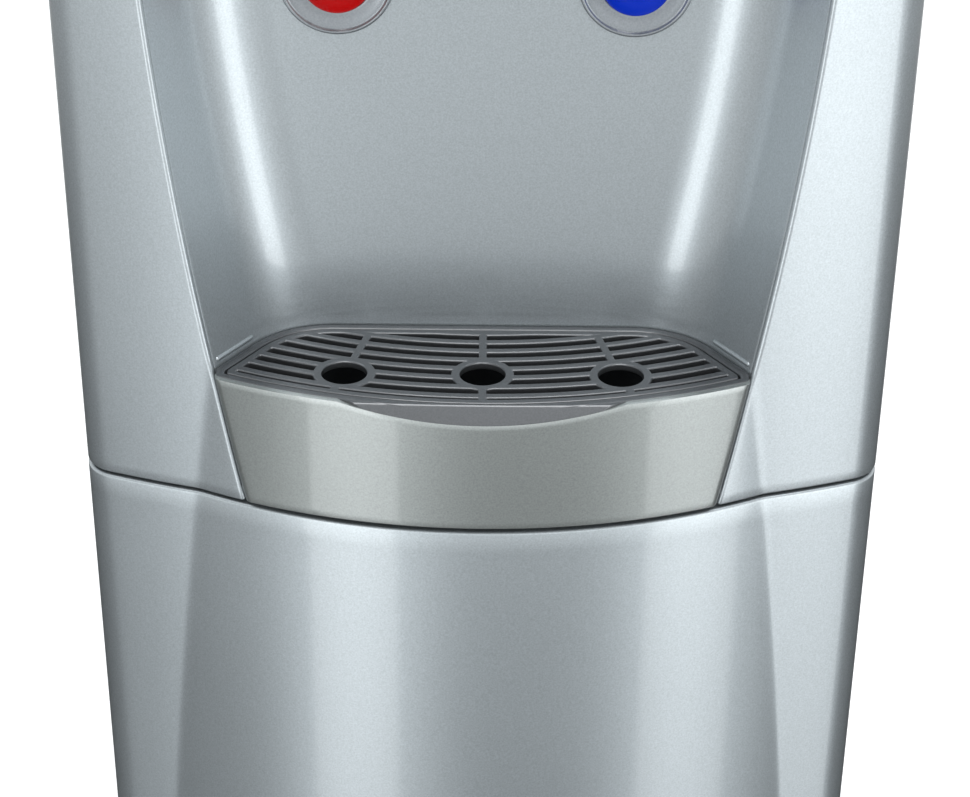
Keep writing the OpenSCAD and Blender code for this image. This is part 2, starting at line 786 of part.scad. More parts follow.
// Solid of the door's front, with a belly as wide as given
module door_solid(inset, z0, z1, rear, reach) {
    body_prism(inset, z0, z1, rear);
    intersection() {
        belly(inset, z0, z1);
        block([-reach, -body_d, z0], [reach, rear, z1]);
    }
}

// Solid of the top's front, with its brow
module top_solid(inset, z0, z1, rear) {
    body_prism(inset, z0, z1, rear);
    brow(inset, z0, z1);
}

// Front view of the alcove's opening: bowed sides that run into round top corners
function opening_half(inset, z0) =
    let (r = opening_edge_r - inset, c = opening_top_r - inset, zc = alcove_z1 - opening_top_r,
        fx = edge_cx + sqrt(pow(r - c, 2) - pow(zc - edge_cz, 2)),
        turn = atan((zc - edge_cz) / (fx - edge_cx)), tz = zc + c * sin(turn))
    concat(
        [for (i = [0:side_steps]) let (z = z0 + (tz - z0) * i / side_steps)
            [edge_cx + sqrt(r * r - pow(z - edge_cz, 2)), z]],
        [for (i = [1:corner_steps]) let (a = turn + (90 - turn) * i / corner_steps)
            [fx + c * cos(a), zc + c * sin(a)]]);

module opening_outline(inset, z0) {
    half = opening_half(inset, z0);
    polygon(concat(half, [for (i = [len(half) - 1:-1:0]) [-half[i].x, half[i].y]]));
}

// Plan of the alcove at a height, grown or shrunk
module alcove_plan(z, grow) {
    r = alcove_fillet_r + grow;
    cx = fillet_x(z);
    cy = alcove_y - alcove_fillet_r;
    side = [cx + r * cos(alcove_flare), cy + r * sin(alcove_flare)];
    mouth_x = side.x + (side.y - alcove_mouth_y) * tan(alcove_flare);
    polygon([
        [-mouth_x, alcove_mouth_y], [mouth_x, alcove_mouth_y], side,
        [cx, cy + r], [-cx, cy + r], [-side.x, side.y]]);
    for (s = [-1, 1])
        translate([s * cx, cy]) circle(r, $fn = hull_fn);
}

module alcove_slice(z, grow)
    translate([0, 0, z])
        linear_extrude(eps)
            alcove_plan(z, grow);

// Space of the alcove between two heights
module alcove_space(grow, z0, z1)
    hull() {
        alcove_slice(z0, grow);
        alcove_slice(z1, grow);
    }

// Half-round bead along a side wall, just above the tray
module hold_down_bead() {
    z = tray_z1 + bead_lift + bead_t / 2;
    foot = [
        fillet_x(z) + alcove_fillet_r * cos(alcove_flare),
        alcove_y - alcove_fillet_r + alcove_fillet_r * sin(alcove_flare)];
    tip_y = front_arc_y(edge_x(z));
    translate([foot.x, foot.y, z])
        rotate([90, 0, alcove_flare])
            cylinder(h = (foot.y - tip_y - shell_t - fit_gap) / cos(alcove_flare), r = bead_t / 2);
}

// Vertical solid behind the tray's bowed front
module tray_solid(inset, z0, z1)
    translate([0, tray_y, z0])
        linear_extrude(z1 - z0) bulge_plan(inset, side_y0 - tray_y);

// Tray inside the alcove, narrow enough to pass out through the opening
module tray_block(inset, front_inset, z0, z1)
    intersection() {
        alcove_space(-tray_gap - inset, z0 - 1, z1 + 1);
        tray_solid(front_inset, z0, z1);
        xz_prism(alcove_mouth_y, alcove_y) opening_outline(tray_gap + inset, seam_z);
    }

module scoop_prism()
    xz_prism(alcove_mouth_y, alcove_y)
        translate([0, tray_z1 - scoop_h + scoop_r])
            circle(scoop_r, $fn = big_fn);

// Outline of the grille, and of the field that its slots fill
module grille_plan(inset) {
    edge = tray_gap + rim_w + grille_gap + inset;
    half = edge_x(tray_z1 - grille_t) - edge;
    intersection() {
        alcove_plan(tray_z1 - grille_t, -edge);
        translate([0, tray_y + belly_r])
            circle(belly_r - tray_front_t - rim_w - grille_gap - inset, $fn = big_fn);
        translate([-half, alcove_mouth_y]) square([2 * half, alcove_y - alcove_mouth_y]);
    }
}

module oblong(w, h) {
    square([w - h, h], center = true);
    for (s = [-1, 1])
        translate([s * (w - h) / 2, 0]) circle(h / 2);
}

// Layer of the brow between two depths
module brow_layer(near, deep, z0, z1)
    translate([0, brow_y, z0])
        linear_extrude(z1 - z0)
            difference() {
                bulge_plan(near, bulge_d);
                bulge_plan(deep, bulge_d + 1);
            }

function cavity_pts(t) = [
    [side_y0, cavity_z0 - t], [cavity_low_y + t, cavity_z0 - t], [cavity_low_y + t, step_z - t],
    [cavity_high_y + t, step_z - t], [cavity_high_y + t, cavity_z1 + t], [side_y0, cavity_z1 + t]];

module base_pan() color(dark_grey) {
    difference() {
        translate([0, 0, foot_h])
            linear_extrude(base_h)
                front_plan(front_arc_r, body_y, 0, rear_y);
        translate([0, 0, foot_h + pan_floor_t])
            linear_extrude(base_h)
                front_plan(front_arc_r, body_y, pan_wall_t, rear_y - pan_wall_t);
        block([-bay_vent_w / 2, rear_y - 2 * pan_wall_t, base_z1 - bay_vent_h],
            [bay_vent_w / 2, rear_y + 1, base_z1 + 1]);
    }
    block([hinge_x - hinge_w, hinge_y - hinge_w / 2, foot_h],
        [half_w - pan_wall_t / 2, side_y0, base_z1]);
}

module feet() color(black_plastic)
    for (x = [-1, 1])
        for (y = [side_y0 - foot_r, rear_y - 2 * foot_r])
            translate([x * (half_w - 2 * foot_r), y, 0])
                rotate_extrude()
                    polygon([[0, 0], [foot_r - 2, 0], [foot_r, 2], [foot_r, foot_h * 0.7],
                        [foot_r * 0.7, foot_h], [0, foot_h]]);

module side_panel() {
    difference() {
        union() {
            block([half_w - sheet_t, side_y0, base_z1], [half_w, rear_y, panel_z1]);
            block([half_w - flange_w, rear_y - sheet_t, base_z1], [half_w, rear_y, panel_z1]);
        }
        for (z = screw_z)
            y_bar(screw_x, rear_y - 2 * sheet_t, rear_y + 1, z, screw_r + screw_gap);
    }
}

module right_side_panel() color(silver) side_panel();

module left_side_panel() color(silver) mirror([1, 0, 0]) side_panel();

module rear_panel() color(dark_grey)
    difference() {
        block([-half_w + panel_edge, rear_y, bay_z1], [half_w - panel_edge, panel_back_y, panel_z1]);
        for (s = [-1, 1])
            for (z = screw_z)
                y_bar(s * screw_x, rear_y - 1, panel_back_y + 1, z, screw_r + screw_gap);
        y_bar(drain_x, rear_y - 1, panel_back_y + 1, drain_z, pipe_r + fit_gap);
        y_bar(gland_x, rear_y - 1, panel_back_y + 1, gland_z, gland_bore_r + gland_wall + fit_gap / 2);
        y_bar(return_x, rear_y - 1, panel_back_y + 1, return_z, condenser_r + 2);
        translate([switch_x - switch_in_w - fit_gap, rear_y - 1, switch_z - switch_in_h - fit_gap])
            cube([2 * (switch_in_w + fit_gap), sheet_t + 2, 2 * (switch_in_h + fit_gap)]);
        for (i = [0:louvre_rows - 1])
            for (x = [-2, -1])
                translate([x * (louvre_w + louvre_pitch), 0, condenser_z1 + 2 * condenser_r])
                    xz_prism(rear_y - 1, panel_back_y + 1)
                        translate([0, louvre_pitch * (i + 3)]) oblong(louvre_w, louvre_h);
    }

module rear_screws() color(steel)
    for (s = [-1, 1])
        for (z = screw_z)
            facing_back(s * screw_x, panel_back_y, z)
                polygon([[0, -3 * sheet_t], [screw_r, -3 * sheet_t], [screw_r, 0], [screw_head_r, 0],
                    [screw_head_r, screw_head_r * 0.2], [screw_head_r * 0.6, screw_head_r * 0.5],
                    [0, screw_head_r * 0.6]]);

module cabinet_foam() color(foam_colour)
    difference() {
        yz_prism(2 * inner_half_w)
            polygon([
                [side_y0 + liner_t, base_z1], [bay_y, base_z1], [bay_y, bay_z1],
                [rear_y - back_gap, bay_z1], [rear_y - back_gap, seam_z],
                [side_y0 + liner_t, seam_z]]);
        yz_prism(cavity_w + 2 * liner_t) polygon(cavity_pts(liner_t));
    }

module fridge_liner() color(white_plastic) {
    difference() {
        union() {
            yz_prism(cavity_w + 2 * liner_t) polygon(cavity_pts(liner_t));
            block([-inner_half_w, side_y0, base_z1], [inner_half_w, side_y0 + liner_t, seam_z]);
        }
        yz_prism(cavity_w) polygon(cavity_pts(0));
    }
    for (s = [-1, 1])
        for (z = shelf_z) {
            x = s * (cavity_w - shelf_ledge_w) / 2;
            block([x - shelf_ledge_w / 2, shelf_front_y, z - shelf_frame_r - shelf_ledge_t],
                [x + shelf_ledge_w / 2, shelf_front_y + shelf_d, z - shelf_frame_r]);
        }
}

module fridge_shelves() color(steel)
    for (z = shelf_z) {
        for (y = [shelf_front_y + shelf_frame_r, shelf_front_y + shelf_d - shelf_frame_r])
            x_bar(-shelf_w / 2, shelf_w / 2, y, z, shelf_frame_r);
        for (s = [-1, 1])
            y_bar(s * (shelf_w / 2 - shelf_frame_r), shelf_front_y + shelf_frame_r,
                shelf_front_y + shelf_d - shelf_frame_r, z, shelf_frame_r * 0.9);
        for (i = [-shelf_half_wires:shelf_half_wires])
            y_bar(i * shelf_wire_pitch, shelf_front_y + shelf_frame_r,
                shelf_front_y + shelf_d - shelf_frame_r, z, shelf_wire_r);
    }

module mid_deck() color(dark_grey)
    difference() {
        translate([0, 0, seam_z])
            linear_extrude(deck_t)
                front_plan(front_arc_r, body_y, shell_t + fit_gap, rear_y - sheet_t - fit_gap);
        translate([hinge_x, hinge_y, seam_z - 1]) cylinder(h = deck_t + 2, r = pin_r + fit_gap);
    }

module front_panel() color(silver)
    difference() {
        union() {
            difference() {
                translate([0, 0, seam_z])
                    linear_extrude(panel_h)
                        difference() {
                            front_plan(front_arc_r, body_y, 0, side_y0 - fit_gap);
                            front_plan(front_arc_r, body_y, shell_t, side_y0 + 1);
                        }
                block([-brow_crease + brow_lap, -body_d, brow_z0],
                    [brow_crease - brow_lap, alcove_y, panel_z1 + 1]);
            }
            intersection() {
                brow_layer(0, shell_t, brow_z0, panel_z1);
                block([-brow_crease - 1, -body_d, brow_z0], [brow_crease + 1, alcove_y, panel_z1]);
            }
            difference() {
                belly(0, seam_z, brow_z0 - opening_top_r);
                body_prism(shell_t / 2, seam_z - 1, panel_z1, side_y0);
            }
        }
        xz_prism(alcove_mouth_y, alcove_y) opening_outline(0, seam_z - 2);
        xz_prism(alcove_mouth_y, alcove_y)
            translate([0, window_z]) oblong(window_w + 2 * fit_gap, window_h + 2 * fit_gap);
    }

module alcove_liner() color(silver) {
    difference() {
        intersection() {
            union() {
                alcove_space(shell_t, deck_z1, tray_z1);
                alcove_space(shell_t, tray_z1, ceiling_z1 - eps);
            }
            union() {
                body_prism(shell_t + fit_gap, deck_z1, ceiling_z1, side_y0);
                brow(shell_t + fit_gap, brow_z0, ceiling_z1);
            }
        }
        alcove_space(0, deck_z1 - 1, tray_z1);
        alcove_space(0, tray_z1, alcove_z1 - eps);
        for (s = [-1, 1]) {
            y_bar(s * button_x, alcove_y - 1, side_y0, button_z, sleeve_r + fit_gap);
            translate([s * drain_pitch, drain_y, alcove_z1 - 1])
                cylinder(h = shell_t + 2, r = nozzle_r + fit_gap);
        }
    }
    hold_down_bead();
    mirror([1, 0, 0]) hold_down_bead();
}

module top_cover() color(silver)
    difference() {
        top_solid(0, panel_z1, cover_z1, panel_back_y);
        top_solid(shell_t, panel_z1 - 1, cover_z1 - shell_t, panel_back_y - shell_t);
        translate([0, tank_y, panel_z1]) cylinder(h = cover_h + 1, r = collar_r + fit_gap);
    }

module bottle_collar() color(dark_grey)
    translate([0, tank_y, 0])
        rotate_extrude()
            polygon([
                [spike_r + fit_gap, socket_z0 - shell_t], [socket_r + shell_t, socket_z0 - shell_t],
                [socket_r + shell_t, funnel_z0 - shell_t],
                [collar_mouth_r, collar_z1 - collar_round - 2 * shell_t],
                [collar_mouth_r, cover_z1 - shell_t], [collar_r, cover_z1 - shell_t],
                [collar_r, cover_z1], [collar_r + collar_flange_w, cover_z1],
                [collar_r + collar_flange_w, cover_z1 + collar_flange_t - 1],
                [collar_r + collar_flange_w - 1, cover_z1 + collar_flange_t],
                [collar_r, cover_z1 + collar_flange_t + 2], [collar_r - 1, collar_z1 - 1],
                [collar_r - 2, collar_z1], [collar_mouth_r + 2, collar_z1],
                [collar_mouth_r, collar_z1 - collar_round], [socket_r, funnel_z0],
                [socket_r, socket_z0], [spike_r + fit_gap, socket_z0]]);

module bottle_spike() color(white_plastic) {
    tip_z = socket_z0 + spike_h;
    difference() {
        translate([0, tank_y, 0])
            rotate_extrude()
                polygon([
                    [spike_bore_r, cold_tank_z1], [spike_r, cold_tank_z1], [spike_r, socket_z0],
                    [2 * spike_r, socket_z0], [2 * spike_r, socket_z0 + spike_flange_t],
                    [spike_r, socket_z0 + spike_flange_t], [spike_r, tip_z - 1.5 * spike_r],
                    [spike_r * 0.3, tip_z], [0, tip_z], [0, tip_z - 3 * spike_r],
                    [spike_bore_r, tip_z - 3 * spike_r]]);
        x_bar(-2 * spike_r, 2 * spike_r, tank_y, tip_z - 4 * spike_r, spike_bore_r * 0.7);
        y_bar(0, tank_y - 2 * spike_r, tank_y + 2 * spike_r, tip_z - 4 * spike_r, spike_bore_r * 0.7);
    }
}

module tank_shelf() color(steel)
    difference() {
        block([-inner_half_w, tank_shelf_y0, tank_shelf_z1 - tank_shelf_flange],
            [inner_half_w, rear_y - sheet_t - fit_gap, tank_shelf_z1]);
        block([-inner_half_w + sheet_t, tank_shelf_y0 - 1, tank_shelf_z1 - tank_shelf_flange - 1],
            [inner_half_w - sheet_t, rear_y, tank_shelf_z1 - sheet_t]);
        translate([feed_x, feed_y, tank_shelf_z1 - 2 * sheet_t])
            cylinder(h = 3 * sheet_t, r = pipe_r + fit_gap);
    }

module cold_tank() color(steel)
    difference() {
        union() {
            translate([0, tank_y, cold_tank_z0]) cylinder(h = cold_tank_h, r = cold_tank_r);
            translate([feed_x, feed_y, hot_tank_z1])
                cylinder(h = cold_tank_z0 - hot_tank_z1 + tank_t / 2, r = pipe_r);
            y_bar(cold_spigot_x, cold_spigot_y, tank_y, cold_spigot_z, hose_r);
        }
        translate([0, tank_y, cold_tank_z0 + tank_t])
            cylinder(h = cold_tank_h - 2 * tank_t, r = cold_tank_r - tank_t);
        translate([0, tank_y, cold_tank_z1 - 2 * tank_t]) cylinder(h = 3 * tank_t, r = spike_bore_r);
        translate([feed_x, feed_y, hot_tank_z1 - 1])
            cylinder(h = cold_tank_z0 - hot_tank_z1 + 2 * tank_t + 1, r = pipe_r - tank_t);
        y_bar(cold_spigot_x, cold_spigot_y - 1, tank_y, cold_spigot_z, hose_r - tank_t);
    }

module cold_tank_jacket() color(white_plastic)
    difference() {
        translate([0, tank_y, tank_shelf_z1])
            cylinder(h = cold_jacket_z1 - tank_shelf_z1, r = cold_jacket_r);
        translate([0, tank_y, cold_tank_z0]) cylinder(h = cold_tank_h, r = cold_inner_r);
        translate([feed_x, feed_y, tank_shelf_z1 - 1]) cylinder(h = 2 * cold_jacket_t, r = pipe_r + fit_gap);
        translate([0, tank_y, cold_tank_z1 - 1]) cylinder(h = 2 * cold_jacket_t, r = spike_r + fit_gap);
        y_bar(cold_spigot_x, cold_spigot_y - 1, tank_y, cold_spigot_z, hose_r + fit_gap);
        y_bar(return_x, tank_y, rear_y, return_z, condenser_r + fit_gap);
    }

module evaporator_coil() color(copper)
    translate([0, tank_y, cold_tank_z0 + (cold_tank_h - evaporator_turns * evaporator_pitch) / 2])
        tube(evaporator_route, evaporator_r, coil_sides);

module hot_tank() color(steel)
    difference() {
        union() {
            translate([hot_tank_x, hot_tank_y, hot_tank_z0]) cylinder(h = hot_tank_h, r = hot_tank_r);
            y_bar(hot_spigot_x, hot_spigot_y, hot_tank_y, hot_spigot_z, hose_r);
            y_bar(drain_x, hot_tank_y, panel_back_y + drain_l, drain_z, pipe_r);
        }
        translate([hot_tank_x, hot_tank_y, hot_tank_z0 + tank_t])
            cylinder(h = hot_tank_h - 2 * tank_t, r = hot_tank_r - tank_t);
        translate([feed_x, feed_y, hot_tank_z1 - 2 * tank_t]) cylinder(h = 3 * tank_t, r = pipe_r - tank_t);
        y_bar(hot_spigot_x, hot_spigot_y - 1, hot_tank_y, hot_spigot_z, hose_r - tank_t);
        y_bar(drain_x, hot_tank_y, panel_back_y + drain_l + 1, drain_z, pipe_r - tank_t);
    }

module hot_tank_jacket() color(foam_colour)
    difference() {
        translate([hot_tank_x, hot_tank_y, deck_z1])
            cylinder(h = hot_jacket_z1 - deck_z1, r = hot_jacket_r);
        translate([hot_tank_x, hot_tank_y, hot_tank_z0]) cylinder(h = hot_tank_h, r = hot_inner_r);
        translate([feed_x, feed_y, hot_tank_z1 - 1]) cylinder(h = 2 * hot_jacket_t, r = pipe_r + fit_gap);
        y_bar(hot_spigot_x, hot_spigot_y - 1, hot_tank_y, hot_spigot_z, hose_r + fit_gap);
        y_bar(drain_x, hot_tank_y, rear_y, drain_z, pipe_r + fit_gap);
    }

module heater_band() color(steel)
    translate([hot_tank_x, hot_tank_y, hot_tank_z0 + hot_tank_h / 3])
        difference() {
            cylinder(h = heater_h, r = hot_tank_r + heater_gap + heater_t);
            translate([0, 0, -1]) cylinder(h = heater_h + 2, r = hot_tank_r + heater_gap);
        }

module compressor() color(black_plastic) {
    belt_z = compressor_z0 + compressor_foot_t + compressor_h * 0.45;
    bowl_h = belt_z - compressor_z0 - compressor_foot_t;
    dome_h = compressor_z1 - belt_z;
    difference() {
        block([compressor_x - mount_span_x / 2 - mount_r,
            compressor_y - mount_span_y / 2 - mount_r, compressor_z0],
            [compressor_x + mount_span_x / 2 + mount_r, compressor_y + mount_span_y / 2 + mount_r,
                compressor_z0 + compressor_foot_t]);
        for (s = [-1, 1])
            translate([compressor_x + s * (mount_span_x / 2 + mount_r), compressor_y, compressor_z0 - 1])
                cylinder(h = compressor_foot_t + 2, r = mount_r);
    }
    translate([compressor_x, compressor_y, belt_z])
        rotate_extrude()
            polygon(concat(
                [[0, -bowl_h], [compressor_r * 0.8, -bowl_h], [compressor_r - 2, -bowl_h * 0.8],
                    [compressor_r - 2, -3], [compressor_r, -3], [compressor_r, 3]],
                [for (a = [0:10:70]) [(compressor_r - 2) * cos(a), 3 + (dome_h - 3) * pow(sin(a), 0.8)]],
                [[(compressor_r - 2) * cos(80), dome_h], [0, dome_h]]));
    block([compressor_x + compressor_r * 0.7, compressor_y - terminal_w / 2, belt_z - terminal_w],
        [compressor_x + compressor_r + terminal_w / 3, compressor_y + terminal_w / 2, belt_z]);
    translate([discharge_x, compressor_y, belt_z])
        cylinder(h = discharge_z - belt_z, r = condenser_r + 1);
}

module compressor_mounts() color("#3a3a3a")
    for (x = [-1, 1])
        for (y = [-1, 1])
            translate([compressor_x + x * mount_span_x / 2, compressor_y + y * mount_span_y / 2,
                foot_h + pan_floor_t])
                rotate_extrude()
                    polygon([[0, 0], [mount_r, 0], [mount_r, mount_h * 0.3], [mount_r * 0.7, mount_h * 0.5],
                        [mount_r, mount_h * 0.7], [mount_r, mount_h], [0, mount_h]]);

module condenser_tube() color(black_plastic)
    tube(concat(smooth_route(discharge_route, 4), serpentine, smooth_route(return_route, 4)),
        condenser_r, tube_sides);

module condenser_wires() color(black_plastic)
    for (x = [condenser_x0 + wire_pitch / 2 : wire_pitch : condenser_x1])
        for (s = [-1, 1])
            translate([x, condenser_y + s * (condenser_r + wire_r + wire_gap), condenser_z0 - wire_pitch])
                cylinder(h = condenser_z1 - condenser_z0 + 2 * wire_pitch, r = wire_r, $fn = 16);

module condenser_brackets() color(black_plastic)
    for (i = [1, condenser_runs - 4])
        for (s = [0, 1]) {
            x = s == 1 ? condenser_x0 - condenser_pitch / 2 : condenser_x1 + condenser_pitch / 2;
            z = condenser_z0 + (i + s - 0.5) * condenser_pitch;
            block([x - bracket_w / 2, panel_back_y, z - bracket_w / 2],
                [x + bracket_w / 2, condenser_y - condenser_r - wire_gap, z + bracket_w / 2]);
        }

module valve(x, colour) color(colour)
    difference() {
        union() {
            block([x - valve_w / 2, drain_y - valve_front, valve_z0],
                [x + valve_w / 2, valve_back_y, valve_z0 + valve_h]);
            translate([x, drain_y + valve_d / 2 - valve_front, valve_z0 + valve_h])
                cylinder(h = valve_coil_h, r = valve_coil_r);
            y_bar(x, valve_back_y, valve_back_y + spigot_l, valve_spigot_z, hose_r);
        }
        translate([x, drain_y, valve_z0 - 1]) cylinder(h = valve_h / 2, r = nozzle_bore_r);
    }

module hot_valve() valve(-drain_pitch, "#8a3a34");

module cold_valve() valve(drain_pitch, "#34508a");

module nozzle(x) color(dark_grey)
    translate([x, drain_y, 0])
        rotate_extrude()
            polygon([
                [nozzle_bore_r, nozzle_z0], [nozzle_r * 0.75, nozzle_z0],
                [nozzle_r, nozzle_z0 + 1.5 * nozzle_r],
                [nozzle_r, ceiling_z1], [nozzle_flange_r, ceiling_z1],
                [nozzle_flange_r, valve_z0], [nozzle_bore_r, valve_z0]]);

module hot_nozzle() nozzle(-drain_pitch);

module cold_nozzle() nozzle(drain_pitch);

// Fixed dish with the sleeve that guides a button
module dish(x) color("#a6acb2")
    facing_front(x, alcove_y, button_z)
        polygon([
            [button_r + stem_gap, -sleeve_l], [sleeve_r, -sleeve_l], [sleeve_r, 0], [dish_r, 0],
            [dish_r, dish_rim - 1], [dish_r - 0.7, dish_rim], [button_r + 3 * stem_gap, dish_floor],
            [button_r + stem_gap, dish_floor]]);

module hot_dish() dish(-button_x);

module cold_dish() dish(button_x);

module push_button(x, colour) color(colour) {
    r = (pow(button_r, 2) + pow(button_dome, 2)) / (2 * button_dome);
    half = asin(button_r / r);
    facing_front(x, alcove_y, button_z)
        polygon(concat(
            [[0, -stop_back], [stop_r, -stop_back], [stop_r, stop_t - stop_back],
                [button_r, stop_t - stop_back]],
            [for (i = [0:dome_steps]) let (a = half * (1 - i / dome_steps))
                [r * sin(a), button_rim + button_dome - r + r * cos(a)]]));
}

module hot_button() push_button(-button_x, "#be0104");

module cold_button() push_button(button_x, "#012eb9");

// Housing behind a button, with a switch block on its back
module switch_housing(x) color(white_plastic) {
    r = sleeve_r + housing_gap;
    facing_back(x, alcove_y, button_z)
        polygon([
            [r, shell_t], [r + housing_t, shell_t], [r + housing_t, housing_l], [0, housing_l],
            [0, housing_l - housing_t], [r, housing_l - housing_t]]);
    block([x - sleeve_r / 2, alcove_y + housing_l, button_z - sleeve_r / 3],
        [x + sleeve_r / 2, alcove_y + housing_l + sleeve_r / 3, button_z + sleeve_r / 3]);
}

module hot_switch() switch_housing(-button_x);

module cold_switch() switch_housing(button_x);

module return_spring(x) color(steel)
    translate([x, alcove_y + stop_back + spring_wire_r + wire_gap, button_z])
        rotate([-90, 0, 0])
            tube(spring_route, spring_wire_r, coil_sides);

module hot_spring() return_spring(-button_x);

module cold_spring() return_spring(button_x);

module hot_hose() color("#d9d6cc") tube(smooth_route(hot_route, 4), hose_r, hose_sides);

module cold_hose() color("#d9d6cc") tube(smooth_route(cold_route, 4), hose_r, hose_sides);

module indicator_window() color(black_plastic)
    difference() {
        union() {
            intersection() {
                brow_layer(0, shell_t + fit_gap + window_flange_t, window_z - window_h, window_z + window_h);
                xz_prism(alcove_mouth_y, alcove_y) translate([0, window_z]) oblong(window_w, window_h);
            }
            intersection() {
                brow_layer(shell_t + fit_gap, shell_t + fit_gap + window_flange_t,
                    window_z - window_h - window_lap, window_z + window_h + window_lap);
                xz_prism(alcove_mouth_y, alcove_y)
                    translate([0, window_z]) oblong(window_w + 2 * window_lap, window_h + 2 * window_lap);
            }
        }
        for (i = [-1:1])
            y_bar(i * lamp_pitch, alcove_mouth_y, alcove_y, window_z, lamp_r + fit_gap);
    }

module indicator_lamps() color("#b9e0b0")
    for (i = [-1:1]) {
        x = i * lamp_pitch;
        y = brow_arc_y(x);
        y_bar(x, y + fit_gap, y + lamp_l, window_z, lamp_r);
        y_bar(x, y + shell_t + window_flange_t + 3 * fit_gap, y + lamp_l, window_z, lamp_r + 1.2);
    }

module switch_plate() color(black_plastic) {
    difference() {
        union() {
            block([switch_x - switch_half_w, panel_back_y, switch_z - switch_half_h],
                [switch_x + switch_half_w, panel_back_y + switch_plate_t, switch_z + switch_half_h]);
            block([switch_x - switch_in_w, switch_y0, switch_z - switch_in_h],
                [switch_x + switch_in_w, panel_back_y + 1, switch_z + switch_in_h]);
        }
        for (s = [-1, 1])
            translate([switch_x + s * rocker_x - rocker_w / 2 - rocker_gap, switch_y0 + switch_shell_t,
                switch_z - rocker_reach - rocker_gap])
                cube([rocker_w + 2 * rocker_gap, panel_back_y + switch_plate_t - switch_y0,
                    2 * (rocker_reach + rocker_gap)]);
    }
    x_bar(switch_x - switch_in_w, switch_x + switch_in_w, pivot_y, switch_z, pivot_r);
}

module rocker(x, colour) color(colour)
    difference() {
        translate([0, pivot_y, switch_z])
            rotate([-rocker_swing / 2, 0, 0])
                yz_prism(rocker_w, x)
                    polygon([
                        [rocker_d, rocker_h], [rocker_d * 0.65, 0], [rocker_d, -rocker_h],
                        [-rocker_d, -rocker_d], [-rocker_d, rocker_d]]);
        x_bar(x - rocker_w, x + rocker_w, pivot_y, switch_z, pivot_r + pin_gap);
    }

module heating_switch() rocker(switch_x - rocker_x, "#b01c1c");

module cooling_switch() rocker(switch_x + rocker_x, "#2c7d3a");

module upper_hinge() color(steel) {
    block([hinge_x - hinge_w / 2, hinge_y - hinge_w / 2, deck_z1],
        [hinge_x + hinge_w / 2, hinge_y + hinge_l, deck_z1 + hinge_t]);
    translate([hinge_x, hinge_y, door_z1 - bush_l + 1])
        cylinder(h = deck_z1 - door_z1 + bush_l, r = pin_r);
}

module lower_hinge() color(steel) {
    block([hinge_x - hinge_w / 2, hinge_y - hinge_w / 2, base_z1],
        [hinge_x + hinge_w / 2, side_y0 - fit_gap, base_z1 + hinge_t]);
    translate([hinge_x, hinge_y, base_z1 + hinge_t / 2])
        cylinder(h = door_z0 - base_z1 - hinge_t / 2 + bush_l - 1, r = pin_r);
}

module cord_gland() color(black_plastic)
    facing_back(gland_x, rear_y, gland_z)
        polygon([
            [gland_bore_r, -gland_l], [gland_bore_r + gland_wall, -gland_l],
            [gland_bore_r + gland_wall, sheet_t], [gland_bore_r + 2 * gland_wall, sheet_t],
            [gland_bore_r + 2 * gland_wall, sheet_t + gland_wall / 2],
            [gland_bore_r + gland_wall, sheet_t + gland_wall], [gland_bore_r, sheet_t + gland_wall]]);

module door_shell() color(silver)
    difference() {
        door_solid(0, door_z0, door_z1, door_back_y, bulge_half);
        door_solid(shell_t, door_z0 + shell_t, door_z1 - shell_t, door_back_y + 1, belly_core);
        translate([hinge_x, hinge_y, door_z0 - 1])
            cylinder(h = door_h + 2, r = bush_r + pin_gap);
    }

module door_foam() color(foam_colour)
    difference() {
        door_solid(shell_t + fit_gap, door_z0 + shell_t + fit_gap, door_z1 - shell_t - fit_gap,
            door_back_y - door_liner_t, belly_core - fit_gap);
        for (z = [door_z0, door_z1 - bush_l - 1])
            translate([hinge_x, hinge_y, z - 1]) cylinder(h = bush_l + 2, r = bush_r + fit_gap);
    }

module door_liner() color(white_plastic) {
    block([-half_w + shell_t + fit_gap, door_back_y - door_liner_t, door_z0 + shell_t + fit_gap],
        [half_w - shell_t - fit_gap, door_back_y, door_z1 - shell_t - fit_gap]);
    for (s = [-1, 1]) {
        x = s * (rib_span / 2 - rib_t / 2);
        block([x - rib_t / 2, door_back_y - eps, rib_z0], [x + rib_t / 2, door_back_y + rib_d, rib_z1]);
        for (z = rack_z)
            block([x - rib_t / 2 - rack_ledge * (s + 1) / 2, door_back_y - eps, z - rack_ledge],
                [x + rib_t / 2 - rack_ledge * (s - 1) / 2, door_back_y + rib_d - rack_ledge, z]);
    }
}

module door_gasket() color("#d5d7d6")
    difference() {
        block([-half_w + gasket_inset, door_back_y, door_z0 + gasket_inset],
            [half_w - gasket_inset, side_y0 - fit_gap, door_z1 - gasket_inset]);
        block([-half_w + gasket_inset + gasket_w, door_back_y - 1, door_z0 + gasket_inset + gasket_w],
            [half_w - gasket_inset - gasket_w, side_y0, door_z1 - gasket_inset - gasket_w]);
    }

module door_racks() color("#dfe8ec")
    for (z = rack_z)
        difference() {
            block([-rack_w / 2, door_back_y + fit_gap, z], [rack_w / 2, door_back_y + rib_d, z + rack_h]);
            block([-rack_w / 2 + rack_t, door_back_y + fit_gap + rack_t, z + rack_t],
                [rack_w / 2 - rack_t, door_back_y + rib_d - rack_t, z + rack_h + 1]);
            block([-rack_w / 2 + 4 * rack_t, door_back_y + rib_d / 2, z + rack_h * 0.6],
                [rack_w / 2 - 4 * rack_t, door_back_y + rib_d + 1, z + rack_h + 1]);
        }

module door_bushes() color(white_plastic)
    for (z = [door_z0, door_z1 - bush_l])
        translate([hinge_x, hinge_y, z])
            difference() {
                cylinder(h = bush_l, r = bush_r);
                translate([0, 0, -1]) cylinder(h = bush_l + 2, r = pin_r + pin_gap);
            }

